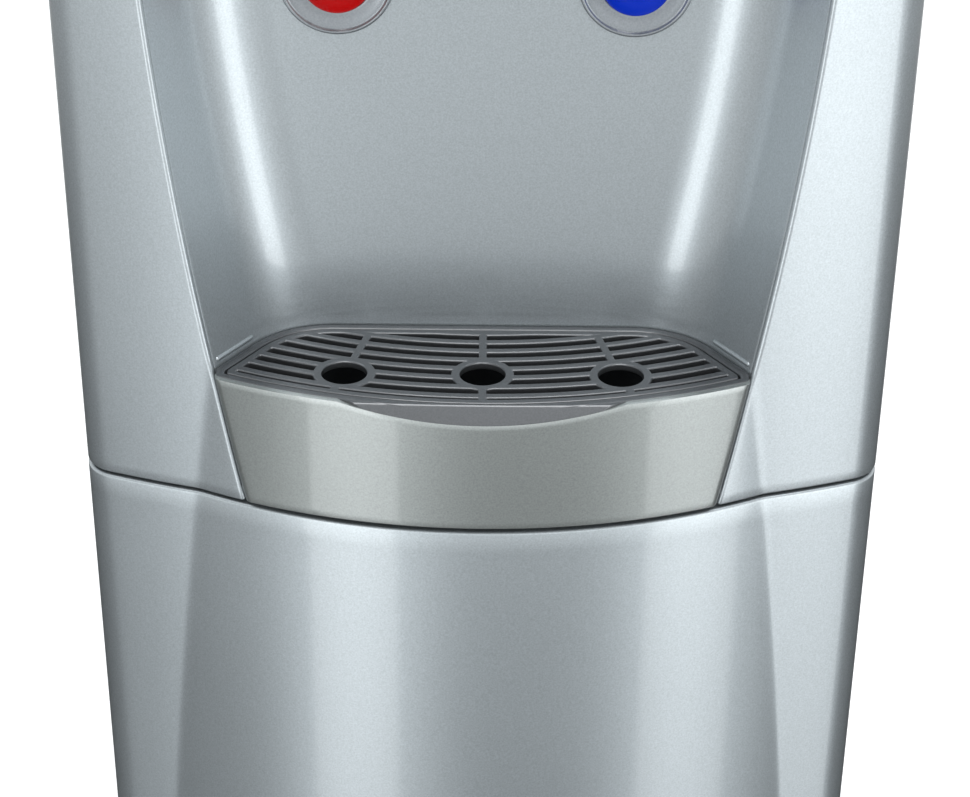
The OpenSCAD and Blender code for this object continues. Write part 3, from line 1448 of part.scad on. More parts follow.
module tray_basin() color(dark_grey)
    difference() {
        union() {
            tray_block(0, tray_front_t, deck_z1 + fit_gap, tray_z1);
            intersection() {
                tray_solid(0, tray_z1 - 2 * scoop_h, tray_z1);
                scoop_prism();
                block([-scoop_w, alcove_mouth_y, tray_z1 - 2 * scoop_h],
                    [scoop_w, tray_y + 3 * scoop_run, tray_z1]);
            }
        }
        tray_block(rim_w, tray_front_t + rim_w, tray_z1 - grille_t, tray_z1 + 1);
        tray_block(rim_w + ledge_w, tray_front_t + rim_w + ledge_w,
            deck_z1 + fit_gap + basin_floor_t, tray_z1 + 1);
        yz_prism(2 * scoop_w)
            polygon([
                [tray_y - scoop_run, tray_z1 - 2 * scoop_h + lip_edge],
                [tray_y + scoop_run, tray_z1 + lip_edge], [tray_y - scoop_run, tray_z1 + lip_edge]]);
    }

module tray_front() color(warm_silver)
    difference() {
        intersection() {
            tray_solid(0, seam_z, tray_z1);
            xz_prism(alcove_mouth_y, alcove_y) opening_outline(tray_gap, seam_z);
        }
        tray_solid(tray_front_t, seam_z - 1, tray_z1 + 1);
        scoop_prism();
    }

module tray_grille() color(dark_grey)
    translate([0, 0, tray_z1 - grille_t])
        linear_extrude(grille_t)
            difference() {
                grille_plan(0);
                intersection() {
                    grille_plan(slot_margin);
                    difference() {
                        for (i = [0:slot_rows - 1])
                            translate([0, tray_y + belly_r])
                                difference() {
                                    circle(slot_r0 - i * slot_pitch + slot_w / 2, $fn = big_fn);
                                    circle(slot_r0 - i * slot_pitch - slot_w / 2, $fn = big_fn);
                                }
                        for (i = [-1:1]) {
                            translate([i * drain_pitch, drain_y]) circle(drain_hole_r + drain_ring_w);
                            translate([0, tray_y + belly_r])
                                rotate(atan(i * drain_pitch / (tray_y + belly_r - drain_y)))
                                    translate([-grille_bar_w / 2, -belly_r])
                                        square([grille_bar_w, belly_r]);
                        }
                    }
                }
                for (i = [-1:1])
                    translate([i * drain_pitch, drain_y]) circle(drain_hole_r);
            }

module drain_cap() color(black_plastic)
    facing_back(drain_x, panel_back_y, drain_z)
        polygon([
            [pipe_r + drain_cap_gap, cap_y0], [pipe_r + drain_cap_gap + drain_cap_t, cap_y0],
            [pipe_r + drain_cap_gap + drain_cap_t, drain_l + fit_gap + drain_cap_t - 1],
            [pipe_r + drain_cap_gap + drain_cap_t - 1, drain_l + fit_gap + drain_cap_t],
            [0, drain_l + fit_gap + drain_cap_t], [0, drain_l + fit_gap],
            [pipe_r + drain_cap_gap, drain_l + fit_gap]]);

echo(evaporator_gap = least_gap(evaporator_route, evaporator_r, 24));
echo(spring_gap = least_gap(spring_route, spring_wire_r, 12));

base_pan();
feet();
left_side_panel();
right_side_panel();
rear_panel();
rear_screws();
cabinet_foam();
fridge_liner();
fridge_shelves();
mid_deck();
front_panel();
alcove_liner();
top_cover();
bottle_collar();
bottle_spike();
tank_shelf();
cold_tank();
cold_tank_jacket();
evaporator_coil();
hot_tank();
hot_tank_jacket();
heater_band();
compressor();
compressor_mounts();
condenser_tube();
condenser_wires();
condenser_brackets();
hot_valve();
cold_valve();
hot_nozzle();
cold_nozzle();
hot_dish();
cold_dish();
hot_switch();
cold_switch();
hot_spring();
cold_spring();
hot_hose();
cold_hose();
indicator_window();
indicator_lamps();
switch_plate();
upper_hinge();
lower_hinge();
cord_gland();
door_shell();
door_foam();
door_liner();
door_gasket();
door_racks();
door_bushes();
tray_basin();
tray_front();
tray_grille();
hot_button();
cold_button();
heating_switch();
cooling_switch();
drain_cap();
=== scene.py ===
"""Looks of a floor-standing water cooler with a fridge below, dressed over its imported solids."""

import json
import math

import bmesh
import bpy
import numpy as np
from mathutils import Matrix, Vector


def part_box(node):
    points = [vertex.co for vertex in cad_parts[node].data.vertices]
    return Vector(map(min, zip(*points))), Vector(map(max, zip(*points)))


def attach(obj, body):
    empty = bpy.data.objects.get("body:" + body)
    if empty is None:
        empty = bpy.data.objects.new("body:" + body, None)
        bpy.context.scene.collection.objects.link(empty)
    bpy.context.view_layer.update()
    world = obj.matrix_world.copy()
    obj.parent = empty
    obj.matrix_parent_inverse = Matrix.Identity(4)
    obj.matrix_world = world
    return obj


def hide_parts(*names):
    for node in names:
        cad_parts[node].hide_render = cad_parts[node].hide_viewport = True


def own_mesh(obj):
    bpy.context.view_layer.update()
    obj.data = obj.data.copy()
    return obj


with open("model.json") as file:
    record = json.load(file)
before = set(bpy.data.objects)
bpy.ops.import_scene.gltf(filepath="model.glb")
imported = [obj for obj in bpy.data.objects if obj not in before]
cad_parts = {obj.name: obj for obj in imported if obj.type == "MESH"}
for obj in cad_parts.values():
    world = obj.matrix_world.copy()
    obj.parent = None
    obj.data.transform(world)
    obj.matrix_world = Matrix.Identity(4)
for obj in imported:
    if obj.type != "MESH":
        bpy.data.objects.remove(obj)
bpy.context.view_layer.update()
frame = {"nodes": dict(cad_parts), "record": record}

# Sizes of the cabinet, in millimetres, as the solids have them
MM = 0.001
HALF_W = 155.0
CORNER_R = 16.0
FRONT_R = 409.0
BODY_Y = -156.018
BELLY_R = 235.0
BELLY_Y = -175.0
BELLY_Z = 330.0
BELLY_LEAN = math.tan(math.radians(1.86))
BELLY_EASE = 40.0
BROW_Y = -168.018
BROW_CREASE = 108.936
CREASE_SOFT = 0.5
DOOR_Z0, DOOR_Z1 = 62.0, 543.5
DOOR_BACK_Y = -101.4
SEAM_Z, PANEL_Z1 = 545.0, 905.0
PANEL_BACK_Y = -93.4
SHEET = 1.6
FOLD_R = 0.8

# Alcove and its opening
EDGE_R, EDGE_CX, EDGE_CZ = 1530.0, -1406.03, 867.033
OPENING_TOP_R = 30.0
ALCOVE_Y, ALCOVE_Z0, ALCOVE_Z1 = -104.518, 550.0, 800.0
FLARE = math.radians(32.5)
FILLET_R = 36.0
LINER_LAP = 1.5
LINER_SHOW = 0.9
LIP_R, LIP_DEPTH = 2.0, 4.5
BEAD_R, BEAD_SUNK, BEAD_GAP = 1.1, 0.4, 1.2

# Drip tray
TRAY_Y, TRAY_Z0, TRAY_Z1 = -171.518, 550.3, 598.0
TRAY_GAP = 0.8
FRONT_T = 2.4
RIM_W, LEDGE_W, GRILLE_T = 3.2, 2.2, 3.0
SCOOP_W, SCOOP_H = 106.0, 6.3
SCOOP_R = ((SCOOP_W / 2) ** 2 + SCOOP_H**2) / (2 * SCOOP_H)
SCOOP_COLUMNS = np.linspace(0, SCOOP_W / 2, 81)
LIP_LEAN, LIP_SOFT, LIP_FADE = 0.72, 0.5, 2.0
TRAY_SIDE_R = 4.0

# Buttons, the sleeve hole round them, and the indicator window
BUTTON_X, BUTTON_Z = 53.6, 738.0
BUTTON_R, BUTTON_DOME, BUTTON_RIM = 12.8, 5.0, 3.2
SLEEVE_HOLE_R = 16.3
WINDOW_Z, WINDOW_HALF, WINDOW_R = 857.0, 25.0, 7.3

# Points of a mesh that are nearer than this are joined, and shorter edges are taken out
WELD_GAP, SHORT_EDGE = 0.02, 0.005


# Shape helpers, in millimetres


def body_arc(x):
    return BODY_Y + FRONT_R - np.sqrt(FRONT_R**2 - x * x)


def bulge(x, front):
    return front + BELLY_R - np.sqrt(BELLY_R**2 - x * x)


def belly_front(z):
    return BELLY_Y + BELLY_LEAN * np.hypot(z - BELLY_Z, BELLY_EASE)


def crease_x(front):
    d = FRONT_R - BELLY_R + BODY_Y - front
    a = (BELLY_R**2 - FRONT_R**2 + d * d) / (2 * d)
    return np.sqrt(BELLY_R**2 - a * a)


def soft_min(a, b, width):
    h = np.clip(0.5 + 0.5 * (b - a) / width, 0, 1)
    return b * (1 - h) + a * h - width * h * (1 - h)


def skin(x, front):
    """Front face of the cabinet, with a bulge that touches the given line."""
    return soft_min(body_arc(x), bulge(x, front), CREASE_SOFT)


def edge_x(z):
    return EDGE_CX + np.sqrt(EDGE_R**2 - (z - EDGE_CZ) ** 2)


def fillet_x(z):
    x = edge_x(z) + LINER_LAP
    wall_x = x - (ALCOVE_Y - body_arc(x)) * math.tan(FLARE)
    return wall_x - FILLET_R * math.tan((math.pi / 2 - FLARE) / 2)


def outward(plan):
    """Unit normals of a plan line that runs round the solid from the front's middle to the right."""
    run = np.gradient(plan, axis=0)
    run /= np.linalg.norm(run, axis=1, keepdims=True)
    return np.stack([run[:, 1], -run[:, 0]], axis=1)


def at_height(plan, z):
    return np.column_stack([plan, np.full(len(plan), float(z))])


def rounding(radius, steps=5):
    """Pairs of inset and drop along a quarter round, from the face to the flat."""
    turn = np.linspace(0, math.pi / 2, steps)
    return [(radius * (1 - math.cos(a)), radius * (1 - math.sin(a))) for a in turn]


class Patches:
    """Grids of points that are joined into one mesh."""

    def __init__(self):
        self.points = []
        self.faces = []

    def grid(self, rows, mirrored=False):
        """Adds rows of points. Columns run to the right and rows run up on a face that looks forward."""
        rows = np.asarray(rows, float)
        start = len(self.points)
        n, m = rows.shape[:2]
        self.points.extend(rows.reshape(-1, 3).tolist())
        for r in range(n - 1):
            for c in range(m - 1):
                a = start + r * m + c
                self.faces.append((a, a + 1, a + m + 1, a + m))
        if mirrored:
            self.grid(rows[:, ::-1] * [-1, 1, 1])

    def cut_hole(self, inside, to_rim):
        """Takes out the faces whose middle is inside, and draws the corners left inside out to the rim."""
        points = np.array(self.points)
        middles = np.array([points[list(f)].mean(axis=0) for f in self.faces])
        gone = inside(middles)
        drop = {i for f, g in zip(self.faces, gone) if g for i in f}
        self.faces = [f for f, g in zip(self.faces, gone) if not g]
        for i in drop & {i for f in self.faces for i in f}:
            self.points[i] = to_rim(points[i])


def make_piece(name, patches, body, slot, replaces=(), sheet=0.0, sharp=35.0):
    """One smooth-shaded object of the patches, riding on a body in place of its solids."""
    mesh = bpy.data.meshes.new(name)
    mesh.from_pydata((np.array(patches.points) * MM).tolist(), [], patches.faces)
    shape = bmesh.new()
    shape.from_mesh(mesh)
    bmesh.ops.remove_doubles(shape, verts=shape.verts, dist=WELD_GAP * MM)
    bmesh.ops.dissolve_degenerate(shape, edges=shape.edges, dist=SHORT_EDGE * MM)
    shape.to_mesh(mesh)
    shape.free()
    mesh.shade_smooth()
    mesh.set_sharp_from_angle(angle=math.radians(sharp))
    piece = bpy.data.objects.new(name, mesh)
    bpy.context.scene.collection.objects.link(piece)
    mesh.materials.append(MATERIALS[slot])
    if sheet:
        wall = piece.modifiers.new("Wall", "SOLIDIFY")
        wall.thickness = sheet * MM
        wall.offset = -1
    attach(piece, body)
    if replaces:
        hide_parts(*replaces)
    return piece


# Shader groups


def new_group(name, inputs, outputs):
    group = bpy.data.node_groups.new(name, "ShaderNodeTree")
    for socket, default in inputs:
        made = group.interface.new_socket(socket, in_out="INPUT", socket_type="NodeSocketFloat")
        made.default_value = default
    for socket in outputs:
        group.interface.new_socket(socket, in_out="OUTPUT", socket_type="NodeSocketFloat")
    return group, group.nodes.new("NodeGroupInput"), group.nodes.new("NodeGroupOutput")


def add_node(tree, kind, **values):
    node = tree.nodes.new(kind)
    for name, value in values.items():
        setattr(node, name, value)
    return node


def add_noise(tree, scale, detail):
    """Noise in the object's own space, as a value. Scale may be a number or a socket."""
    place = add_node(tree, "ShaderNodeTexCoord")
    noise = add_node(tree, "ShaderNodeTexNoise")
    noise.inputs["Detail"].default_value = detail
    tree.links.new(place.outputs["Object"], noise.inputs["Vector"])
    if isinstance(scale, (int, float)):
        noise.inputs["Scale"].default_value = scale
    else:
        tree.links.new(scale, noise.inputs["Scale"])
    return noise.outputs["Fac"]


def add_math(tree, operation, *values):
    node = add_node(tree, "ShaderNodeMath", operation=operation)
    for i, value in enumerate(values):
        if isinstance(value, (int, float)):
            node.inputs[i].default_value = value
        else:
            tree.links.new(value, node.inputs[i])
    return node.outputs[0]


def flake_group():
    """Glint of metal flakes: a tone round one, and the height of the lacquer's orange peel."""
    group, inside, outside = new_group(
        "Lacquer flake", [("Flake Scale", 1500.0), ("Glint", 0.1), ("Peel Scale", 240.0)], ["Tone", "Height"]
    )
    flake = add_noise(group, inside.outputs["Flake Scale"], 1.0)
    swing = add_math(group, "SUBTRACT", flake, 0.5)
    tone = add_math(group, "MULTIPLY_ADD", swing, inside.outputs["Glint"], 1.0)
    peel = add_noise(group, inside.outputs["Peel Scale"], 0.0)
    group.links.new(tone, outside.inputs["Tone"])
    group.links.new(peel, outside.inputs["Height"])
    return group


def grain_group():
    """Spark-eroded grain of moulded plastic: a height, and a faint tone."""
    group, inside, outside = new_group(
        "Moulded grain", [("Grain Scale", 900.0), ("Mottle", 0.08)], ["Tone", "Height"]
    )
    grain = add_noise(group, inside.outputs["Grain Scale"], 3.0)
    blotch = add_noise(group, 35.0, 4.0)
    swing = add_math(group, "SUBTRACT", blotch, 0.5)
    tone = add_math(group, "MULTIPLY_ADD", swing, inside.outputs["Mottle"], 1.0)
    group.links.new(tone, outside.inputs["Tone"])
    group.links.new(grain, outside.inputs["Height"])
    return group


def handling_group():
    """Roughness that wanders a little, as wiped and handled surfaces do."""
    group, inside, outside = new_group("Handling", [("Roughness", 0.4), ("Spread", 0.08)], ["Roughness"])
    cloud = add_noise(group, 14.0, 5.0)
    swing = add_math(group, "SUBTRACT", cloud, 0.5)
    value = add_math(group, "MULTIPLY_ADD", swing, inside.outputs["Spread"], inside.outputs["Roughness"])
    group.links.new(value, outside.inputs["Roughness"])
    return group


FLAKE = flake_group()
GRAIN = grain_group()
HANDLING = handling_group()
RELIEF_DEPTH = 0.2 * MM


def finish_material(name, colour, roughness, surface, surface_values, bump, spread=0.08, **sockets):
    """A Principled material whose tone, roughness and relief come from the shared groups."""
    material = bpy.data.materials.new(name)
    material.use_nodes = True
    tree = material.node_tree
    shader = tree.nodes["Principled BSDF"]
    for socket, value in sockets.items():
        shader.inputs[socket.replace("_", " ")].default_value = value
    relief = add_node(tree, "ShaderNodeGroup", node_tree=surface)
    for socket, value in surface_values.items():
        relief.inputs[socket].default_value = value
    tint = add_node(tree, "ShaderNodeMix", data_type="RGBA", blend_type="MULTIPLY")
    tint.inputs["Factor"].default_value = 1.0
    tint.inputs["A"].default_value = (*colour, 1.0)
    tree.links.new(relief.outputs["Tone"], tint.inputs["B"])
    tree.links.new(tint.outputs["Result"], shader.inputs["Base Color"])
    handled = add_node(tree, "ShaderNodeGroup", node_tree=HANDLING)
    handled.inputs["Roughness"].default_value = roughness
    handled.inputs["Spread"].default_value = spread
    tree.links.new(handled.outputs["Roughness"], shader.inputs["Roughness"])
    height = add_node(tree, "ShaderNodeBump")
    height.inputs["Strength"].default_value = bump
    height.inputs["Distance"].default_value = RELIEF_DEPTH
    tree.links.new(relief.outputs["Height"], height.inputs["Height"])
    tree.links.new(height.outputs["Normal"], shader.inputs["Normal"])
    return material


def lacquer(name, colour, roughness, glint=0.45, bump=0.02, coat=1.0, coat_roughness=0.08):
    """Metal-flake paint: a rough, sparkling base under a clear coat."""
    values = {"Flake Scale": 1500.0, "Glint": glint, "Peel Scale": 240.0}
    return finish_material(
        name,
        colour,
        roughness,
        FLAKE,
        values,
        bump,
        spread=0.05,
        Metallic=0.76,
        Coat_Weight=coat,
        Coat_Roughness=coat_roughness,
        Coat_IOR=1.7,
    )


def plastic(name, colour, roughness, grain=900.0, bump=0.25, mottle=0.1, **sockets):
    values = {"Grain Scale": grain, "Mottle": mottle}
    return finish_material(name, colour, roughness, GRAIN, values, bump, **sockets)


def metal(name, colour, roughness, bump=0.06):
    values = {"Grain Scale": 420.0, "Mottle": 0.16}
    return finish_material(name, colour, roughness, GRAIN, values, bump, spread=0.16, Metallic=1.0)


MATERIALS = {
    "silver": lacquer("Silver lacquer", (0.49, 0.535, 0.562), 0.36),
    "silver_sheet": lacquer("Silver coated sheet", (0.49, 0.535, 0.562), 0.36),
    "warm_silver": lacquer("Warm silver lacquer", (0.378, 0.404, 0.396), 0.37, coat_roughness=0.03),
    "dish_silver": lacquer("Satin dish silver", (0.26, 0.282, 0.305), 0.4),
    "dark_grey": lacquer("Dark grey lacquer", (0.135, 0.141, 0.149), 0.38, glint=0.35, coat=0.6),
    "dark_sheet": plastic("Powder coated sheet", (0.13, 0.138, 0.147), 0.5, grain=520.0, bump=0.4),
    "black_plastic": plastic("Black plastic", (0.018, 0.02, 0.022), 0.36),
    "black_metal": plastic("Black enamel", (0.018, 0.019, 0.021), 0.3, grain=300.0, bump=0.12),
    "rubber": plastic("Black rubber", (0.03, 0.03, 0.03), 0.75, grain=650.0, bump=0.3),
    "gasket_rubber": plastic("Gasket rubber", (0.6, 0.62, 0.61), 0.6, grain=500.0),
    "white_plastic": plastic("White moulded plastic", (0.78, 0.8, 0.79), 0.32, bump=0.1),
    "steel": metal("Plain steel", (0.58, 0.6, 0.61), 0.34),
    "copper": metal("Copper tube", (0.74, 0.36, 0.2), 0.32),
    "foam": plastic("Rigid foam", (0.78, 0.7, 0.45), 0.85, grain=380.0, bump=0.7, mottle=0.2),
    "hose": plastic("Silicone hose", (0.68, 0.66, 0.59), 0.45, grain=500.0, Subsurface_Weight=0.1),
    "valve_red": plastic("Red valve plastic", (0.26, 0.045, 0.035), 0.42),
    "valve_blue": plastic("Blue valve plastic", (0.035, 0.08, 0.26), 0.42),
    "red_button": plastic("Red button", (0.55, 0.001, 0.0015), 0.24, bump=0.03, Specular_IOR_Level=0.25),
    "blue_button": plastic("Blue button", (0.0005, 0.03, 0.56), 0.24, bump=0.03, Specular_IOR_Level=0.25),
    "lamp": plastic("Lamp lens", (0.45, 0.72, 0.4), 0.25, bump=0.05),
    "rack_plastic": plastic("Pale rack plastic", (0.7, 0.77, 0.8), 0.26, bump=0.08),
    "rocker_red": plastic("Red rocker", (0.43, 0.012, 0.012), 0.28, bump=0.08),
    "rocker_green": plastic("Green rocker", (0.025, 0.2, 0.042), 0.28, bump=0.08),
}


# Moulded front


CORNER_CY = BODY_Y + FRONT_R - math.sqrt((FRONT_R - CORNER_R) ** 2 - (HALF_W - CORNER_R) ** 2)
CORNER_TURN = math.asin((HALF_W - CORNER_R) / (FRONT_R - CORNER_R))
CORNER_X = FRONT_R * math.sin(CORNER_TURN)


def corner_and_side(rear):
    """Plan of the rounded corner and the side, from the end of the front arc back to the rear."""
    turn = np.linspace(CORNER_TURN, math.pi / 2, 11)[1:]
    corner = np.column_stack(
        [HALF_W - CORNER_R + CORNER_R * np.sin(turn), CORNER_CY - CORNER_R * np.cos(turn)]
    )
    side = [(HALF_W, CORNER_CY + (rear - CORNER_CY) * t) for t in (0.35, 0.7, 1.0)]
    return np.vstack([corner, side])


def wing_columns(crease):
    """Distances from the middle between the crease and the corner, close together by the crease."""
    return crease + (CORNER_X - crease) * np.array([0.02, 0.045, 0.08, 0.16, 0.32, 0.5, 0.7, 0.86, 1.0])


def door_plan(z):
    front = belly_front(z)
    crease = crease_x(front)
    belly = crease * np.concatenate([np.linspace(0, 0.94, 26), [0.965, 0.983, 0.994, 1.0]])
    x = np.concatenate([belly, wing_columns(crease)])
    half = np.vstack([np.column_stack([x, skin(x, front)]), corner_and_side(DOOR_BACK_Y)])
    return np.vstack([half[:0:-1] * [-1, 1], half])


def build_door_shell():
    edge_r = 1.3
    back_taper = 0.985
    levels = [(i, DOOR_Z0 + d) for i, d in reversed(rounding(edge_r))]
    levels += [(0.0, z) for z in np.linspace(DOOR_Z0 + edge_r, DOOR_Z1 - edge_r, 60)[1:-1]]
    levels += [(i, DOOR_Z1 - d) for i, d in rounding(edge_r)]
    rows = []
    for inset, z in levels:
        plan = door_plan(z)
        rows.append(at_height(plan - outward(plan) * inset, z))

    def flat_to_back(row):
        back = row.copy()
        back[:, 0] *= back_taper
        back[:, 1] = DOOR_BACK_Y
        return back

    patches = Patches()
    patches.grid([flat_to_back(rows[0]), *rows, flat_to_back(rows[-1])])
    make_piece("door_skin", patches, "door", "silver", ["door_shell"], sheet=SHEET)


def opening_samples():
    """Points and outward directions round the opening's right half, from the seam to the middle."""
    corner_z = ALCOVE_Z1 - OPENING_TOP_R
    reach = EDGE_R - OPENING_TOP_R
    corner_x = EDGE_CX + math.sqrt(reach**2 - (corner_z - EDGE_CZ) ** 2)
    turn = math.atan2(corner_z - EDGE_CZ, corner_x - EDGE_CX)
    top_z = corner_z + OPENING_TOP_R * math.sin(turn)
    side = []
    for z in np.linspace(SEAM_Z + FOLD_R, top_z, 56):
        a = math.asin((z - EDGE_CZ) / EDGE_R)
        side.append((edge_x(z), z, math.cos(a), math.sin(a)))
    near = (-2, -1, -0.4, 0, 0.4, 1, 2)
    by_crease = [math.acos((BROW_CREASE + d - corner_x) / (OPENING_TOP_R + LIP_R)) for d in near]
    turns = np.unique(np.concatenate([np.linspace(turn, math.pi / 2, 15), by_crease]))
    corner = []
    for a in turns:
        out_x, out_z = math.cos(a), math.sin(a)
        corner.append((corner_x + OPENING_TOP_R * out_x, corner_z + OPENING_TOP_R * out_z, out_x, out_z))
    top = [(x, ALCOVE_Z1, 0.0, 1.0) for x in np.linspace(corner_x, 0, 33)[1:]]
    return np.array(side), np.array(corner + top)


def rounded_lip(sample, front):
    """Points from behind the opening's edge, round its lip and on to the face."""
    x, z, nx, nz = sample
    bend = np.linspace(math.pi / 2, 0, 11)
    out = LIP_R * (1 - np.sin(bend))
    deep = LIP_R * (1 - np.cos(bend))
    out = np.concatenate([[0.0], out])
    deep = np.concatenate([[LIP_DEPTH], deep])
    px, pz = x + nx * out, z + nz * out
    return np.column_stack([px, skin(px, front(pz)) + deep, pz])


def build_front_panel():
    side, over = opening_samples()
    flange = 4.0
    top_z = PANEL_Z1 - FOLD_R
    wrap = corner_and_side(PANEL_BACK_Y)

    def brow_front(z):
        return np.full_like(z, BROW_Y)

    wing = []
    for sample in side:
        lip = rounded_lip(sample, belly_front)
        x0, z = lip[-1, 0], lip[-1, 2]
        front = belly_front(z)
        crease = max(crease_x(front), x0 + 1.2)
        inner = x0 + (crease - x0) * np.array([0.2, 0.4, 0.6, 0.75, 0.85, 0.93, 1.0])
        x = np.concatenate([inner, wing_columns(crease)])
        face = np.vstack([np.column_stack([x, skin(x, front)]), wrap])
        wing.append(np.vstack([lip, at_height(face, z)]))
    wing = np.array(wing)

    rise = np.linspace(0, 1, 32)
    header = []
    for sample in over[::-1]:
        lip = rounded_lip(sample, brow_front)
        x, z0 = lip[-1, 0], lip[-1, 2]
        z = z0 + (top_z - z0) * rise[1:]
        y = np.full_like(z, skin(x, BROW_Y))
        header.append(np.vstack([lip, np.column_stack([np.full_like(z, x), y, z])]))
    header = np.array(header).transpose(1, 0, 2)

    shoulder_foot = wing[-1][len(rounded_lip(side[-1], belly_front)) - 1 :]
    shoulder = []
    for t in rise:
        row = shoulder_foot.copy()
        row[:, 2] += (top_z - row[:, 2]) * t
        shoulder.append(row)

    def folded(row, z_face, z_flat):
        """Rows round a fold from the face to the flat, and a flange behind it."""
        plan = row[:, :2]
        normal = outward(plan)
        fold = []
        for inset, drop in rounding(FOLD_R, 4):
            fold.append(at_height(plan - normal * inset, z_flat + (z_face - z_flat) * drop / FOLD_R))
        return [*fold, at_height(plan - normal * flange, z_flat)]

    patches = Patches()
    seam_fold = folded(wing[0], side[0][1], SEAM_Z)[:-1]
    patches.grid([*seam_fold[::-1], *wing[1:]], mirrored=True)
    patches.grid(header, mirrored=True)
    patches.grid(shoulder, mirrored=True)
    top_row = np.vstack([header[-1], shoulder[-1][1:]])
    top_row = np.vstack([top_row[:0:-1] * [-1, 1, 1], top_row])
    patches.grid(folded(top_row, top_z, PANEL_Z1))

    def in_window(p):
        across = p[:, 0] - np.clip(p[:, 0], -WINDOW_HALF, WINDOW_HALF)
        return np.hypot(across, p[:, 2] - WINDOW_Z) < WINDOW_R

    def to_window_rim(p):
        x = min(max(p[0], -WINDOW_HALF), WINDOW_HALF)
        way = np.array([p[0] - x, p[2] - WINDOW_Z])
        way *= WINDOW_R / np.linalg.norm(way)
        px = x + way[0]
        return [px, float(skin(px, BROW_Y)), WINDOW_Z + way[1]]

    patches.cut_hole(in_window, to_window_rim)
    make_piece("front_panel_skin", patches, "cabinet", "silver", ["front_panel"], sheet=SHEET)


def alcove_half(z):
    """Plan of the alcove's right half at a height, from the middle of the back wall to the front."""
    foot_x, foot_y = fillet_x(z), ALCOVE_Y - FILLET_R
    back = [(foot_x * t, ALCOVE_Y) for t in np.linspace(0, 1, 30)]
    turn = np.linspace(math.pi / 2, FLARE, 19)[1:]
    bend = np.column_stack([foot_x + FILLET_R * np.cos(turn), foot_y + FILLET_R * np.sin(turn)])
    end_x = edge_x(z) + LINER_SHOW
    way = (end_x - bend[-1][0]) * np.linspace(0, 1, 9)[1:]
    wall = np.column_stack([bend[-1][0] + way, bend[-1][1] - way / math.tan(FLARE)])
    return np.vstack([back, bend, wall])


def round_bead(start, end, radius):
    """Bead with round ends along a straight line."""
    start, end = np.array(start, float), np.array(end, float)
    axis = (end - start) / np.linalg.norm(end - start)
    up = np.array([0.0, 0.0, 1.0])
    across = np.cross(axis, up)
    turn = np.linspace(0, 2 * math.pi, 17)[:, None]
    ring = np.cos(turn) * across + np.sin(turn) * up
    bend = np.linspace(0, math.pi / 2, 6)
    first = [start + radius * (ring * math.cos(a) - axis * math.sin(a)) for a in bend[::-1]]
    last = [end + radius * (ring * math.cos(a) + axis * math.sin(a)) for a in bend]
    return np.array(first + last)


def build_alcove_liner():
    ceiling_r = 5.0
    rows = []
    for z in np.linspace(ALCOVE_Z0, ALCOVE_Z1 - ceiling_r, 74):
        rows.append(at_height(alcove_half(z), z))
    top = alcove_half(ALCOVE_Z1 - ceiling_r)
    normal = outward(top)
    normal[0] = (0.0, -1.0)
    for inset, drop in rounding(ceiling_r, 6)[1:]:
        rows.append(at_height(top + normal * inset, ALCOVE_Z1 - drop))
    edge = rows[-1]
    for t in (0.3, 0.65, 1.0):
        row = edge.copy()
        row[:, 1] += (skin(row[:, 0], BROW_Y) + 2.0 - row[:, 1]) * t
        rows.append(row)
    patches = Patches()
    patches.grid(rows, mirrored=True)

    def in_sleeve(p):
        at_back = p[:, 1] > ALCOVE_Y - 0.1
        return at_back & (np.hypot(np.abs(p[:, 0]) - BUTTON_X, p[:, 2] - BUTTON_Z) < SLEEVE_HOLE_R)

    def to_sleeve_rim(p):
        x = math.copysign(BUTTON_X, p[0])
        way = np.array([p[0] - x, p[2] - BUTTON_Z])
        way *= SLEEVE_HOLE_R / np.linalg.norm(way)
        return [x + way[0], ALCOVE_Y, BUTTON_Z + way[1]]

    patches.cut_hole(in_sleeve, to_sleeve_rim)
    make_piece("alcove_skin", patches, "cabinet", "silver", ["alcove_liner"], sheet=SHEET)

    bead_z = TRAY_Z1 + BEAD_R + BEAD_GAP
    sunk_r = FILLET_R + BEAD_SUNK * BEAD_R
    foot = (fillet_x(bead_z) + sunk_r * math.cos(FLARE), ALCOVE_Y - FILLET_R + sunk_r * math.sin(FLARE))
    tip_x = edge_x(bead_z) - BEAD_GAP
    tip = (tip_x, foot[1] - (tip_x - foot[0]) / math.tan(FLARE))
    beads = Patches()
    beads.grid(round_bead((*foot, bead_z), (*tip, bead_z), BEAD_R), mirrored=True)
    make_piece("hold_down_beads", beads, "cabinet", "silver")


# Drip tray


def tray_front_y(x, inset=0.0):
    return TRAY_Y + BELLY_R - np.sqrt((BELLY_R - inset) ** 2 - x * x)


def scoop_z(x):
    """Top of the tray's front, with the finger scoop in its middle."""
    dip = TRAY_Z1 - SCOOP_H + SCOOP_R - np.sqrt(np.maximum(SCOOP_R**2 - x * x, 0))
    return np.where(np.abs(x) < SCOOP_W / 2, dip, TRAY_Z1)


def under_fingers(x, y, z):
    """Heights cut down to the finger lip's slope, which rises back from the scoop."""
    slope = scoop_z(x) + (y - tray_front_y(x)) / LIP_LEAN
    return np.where(x <= SCOOP_W / 2, soft_min(z, slope, LIP_SOFT), z)


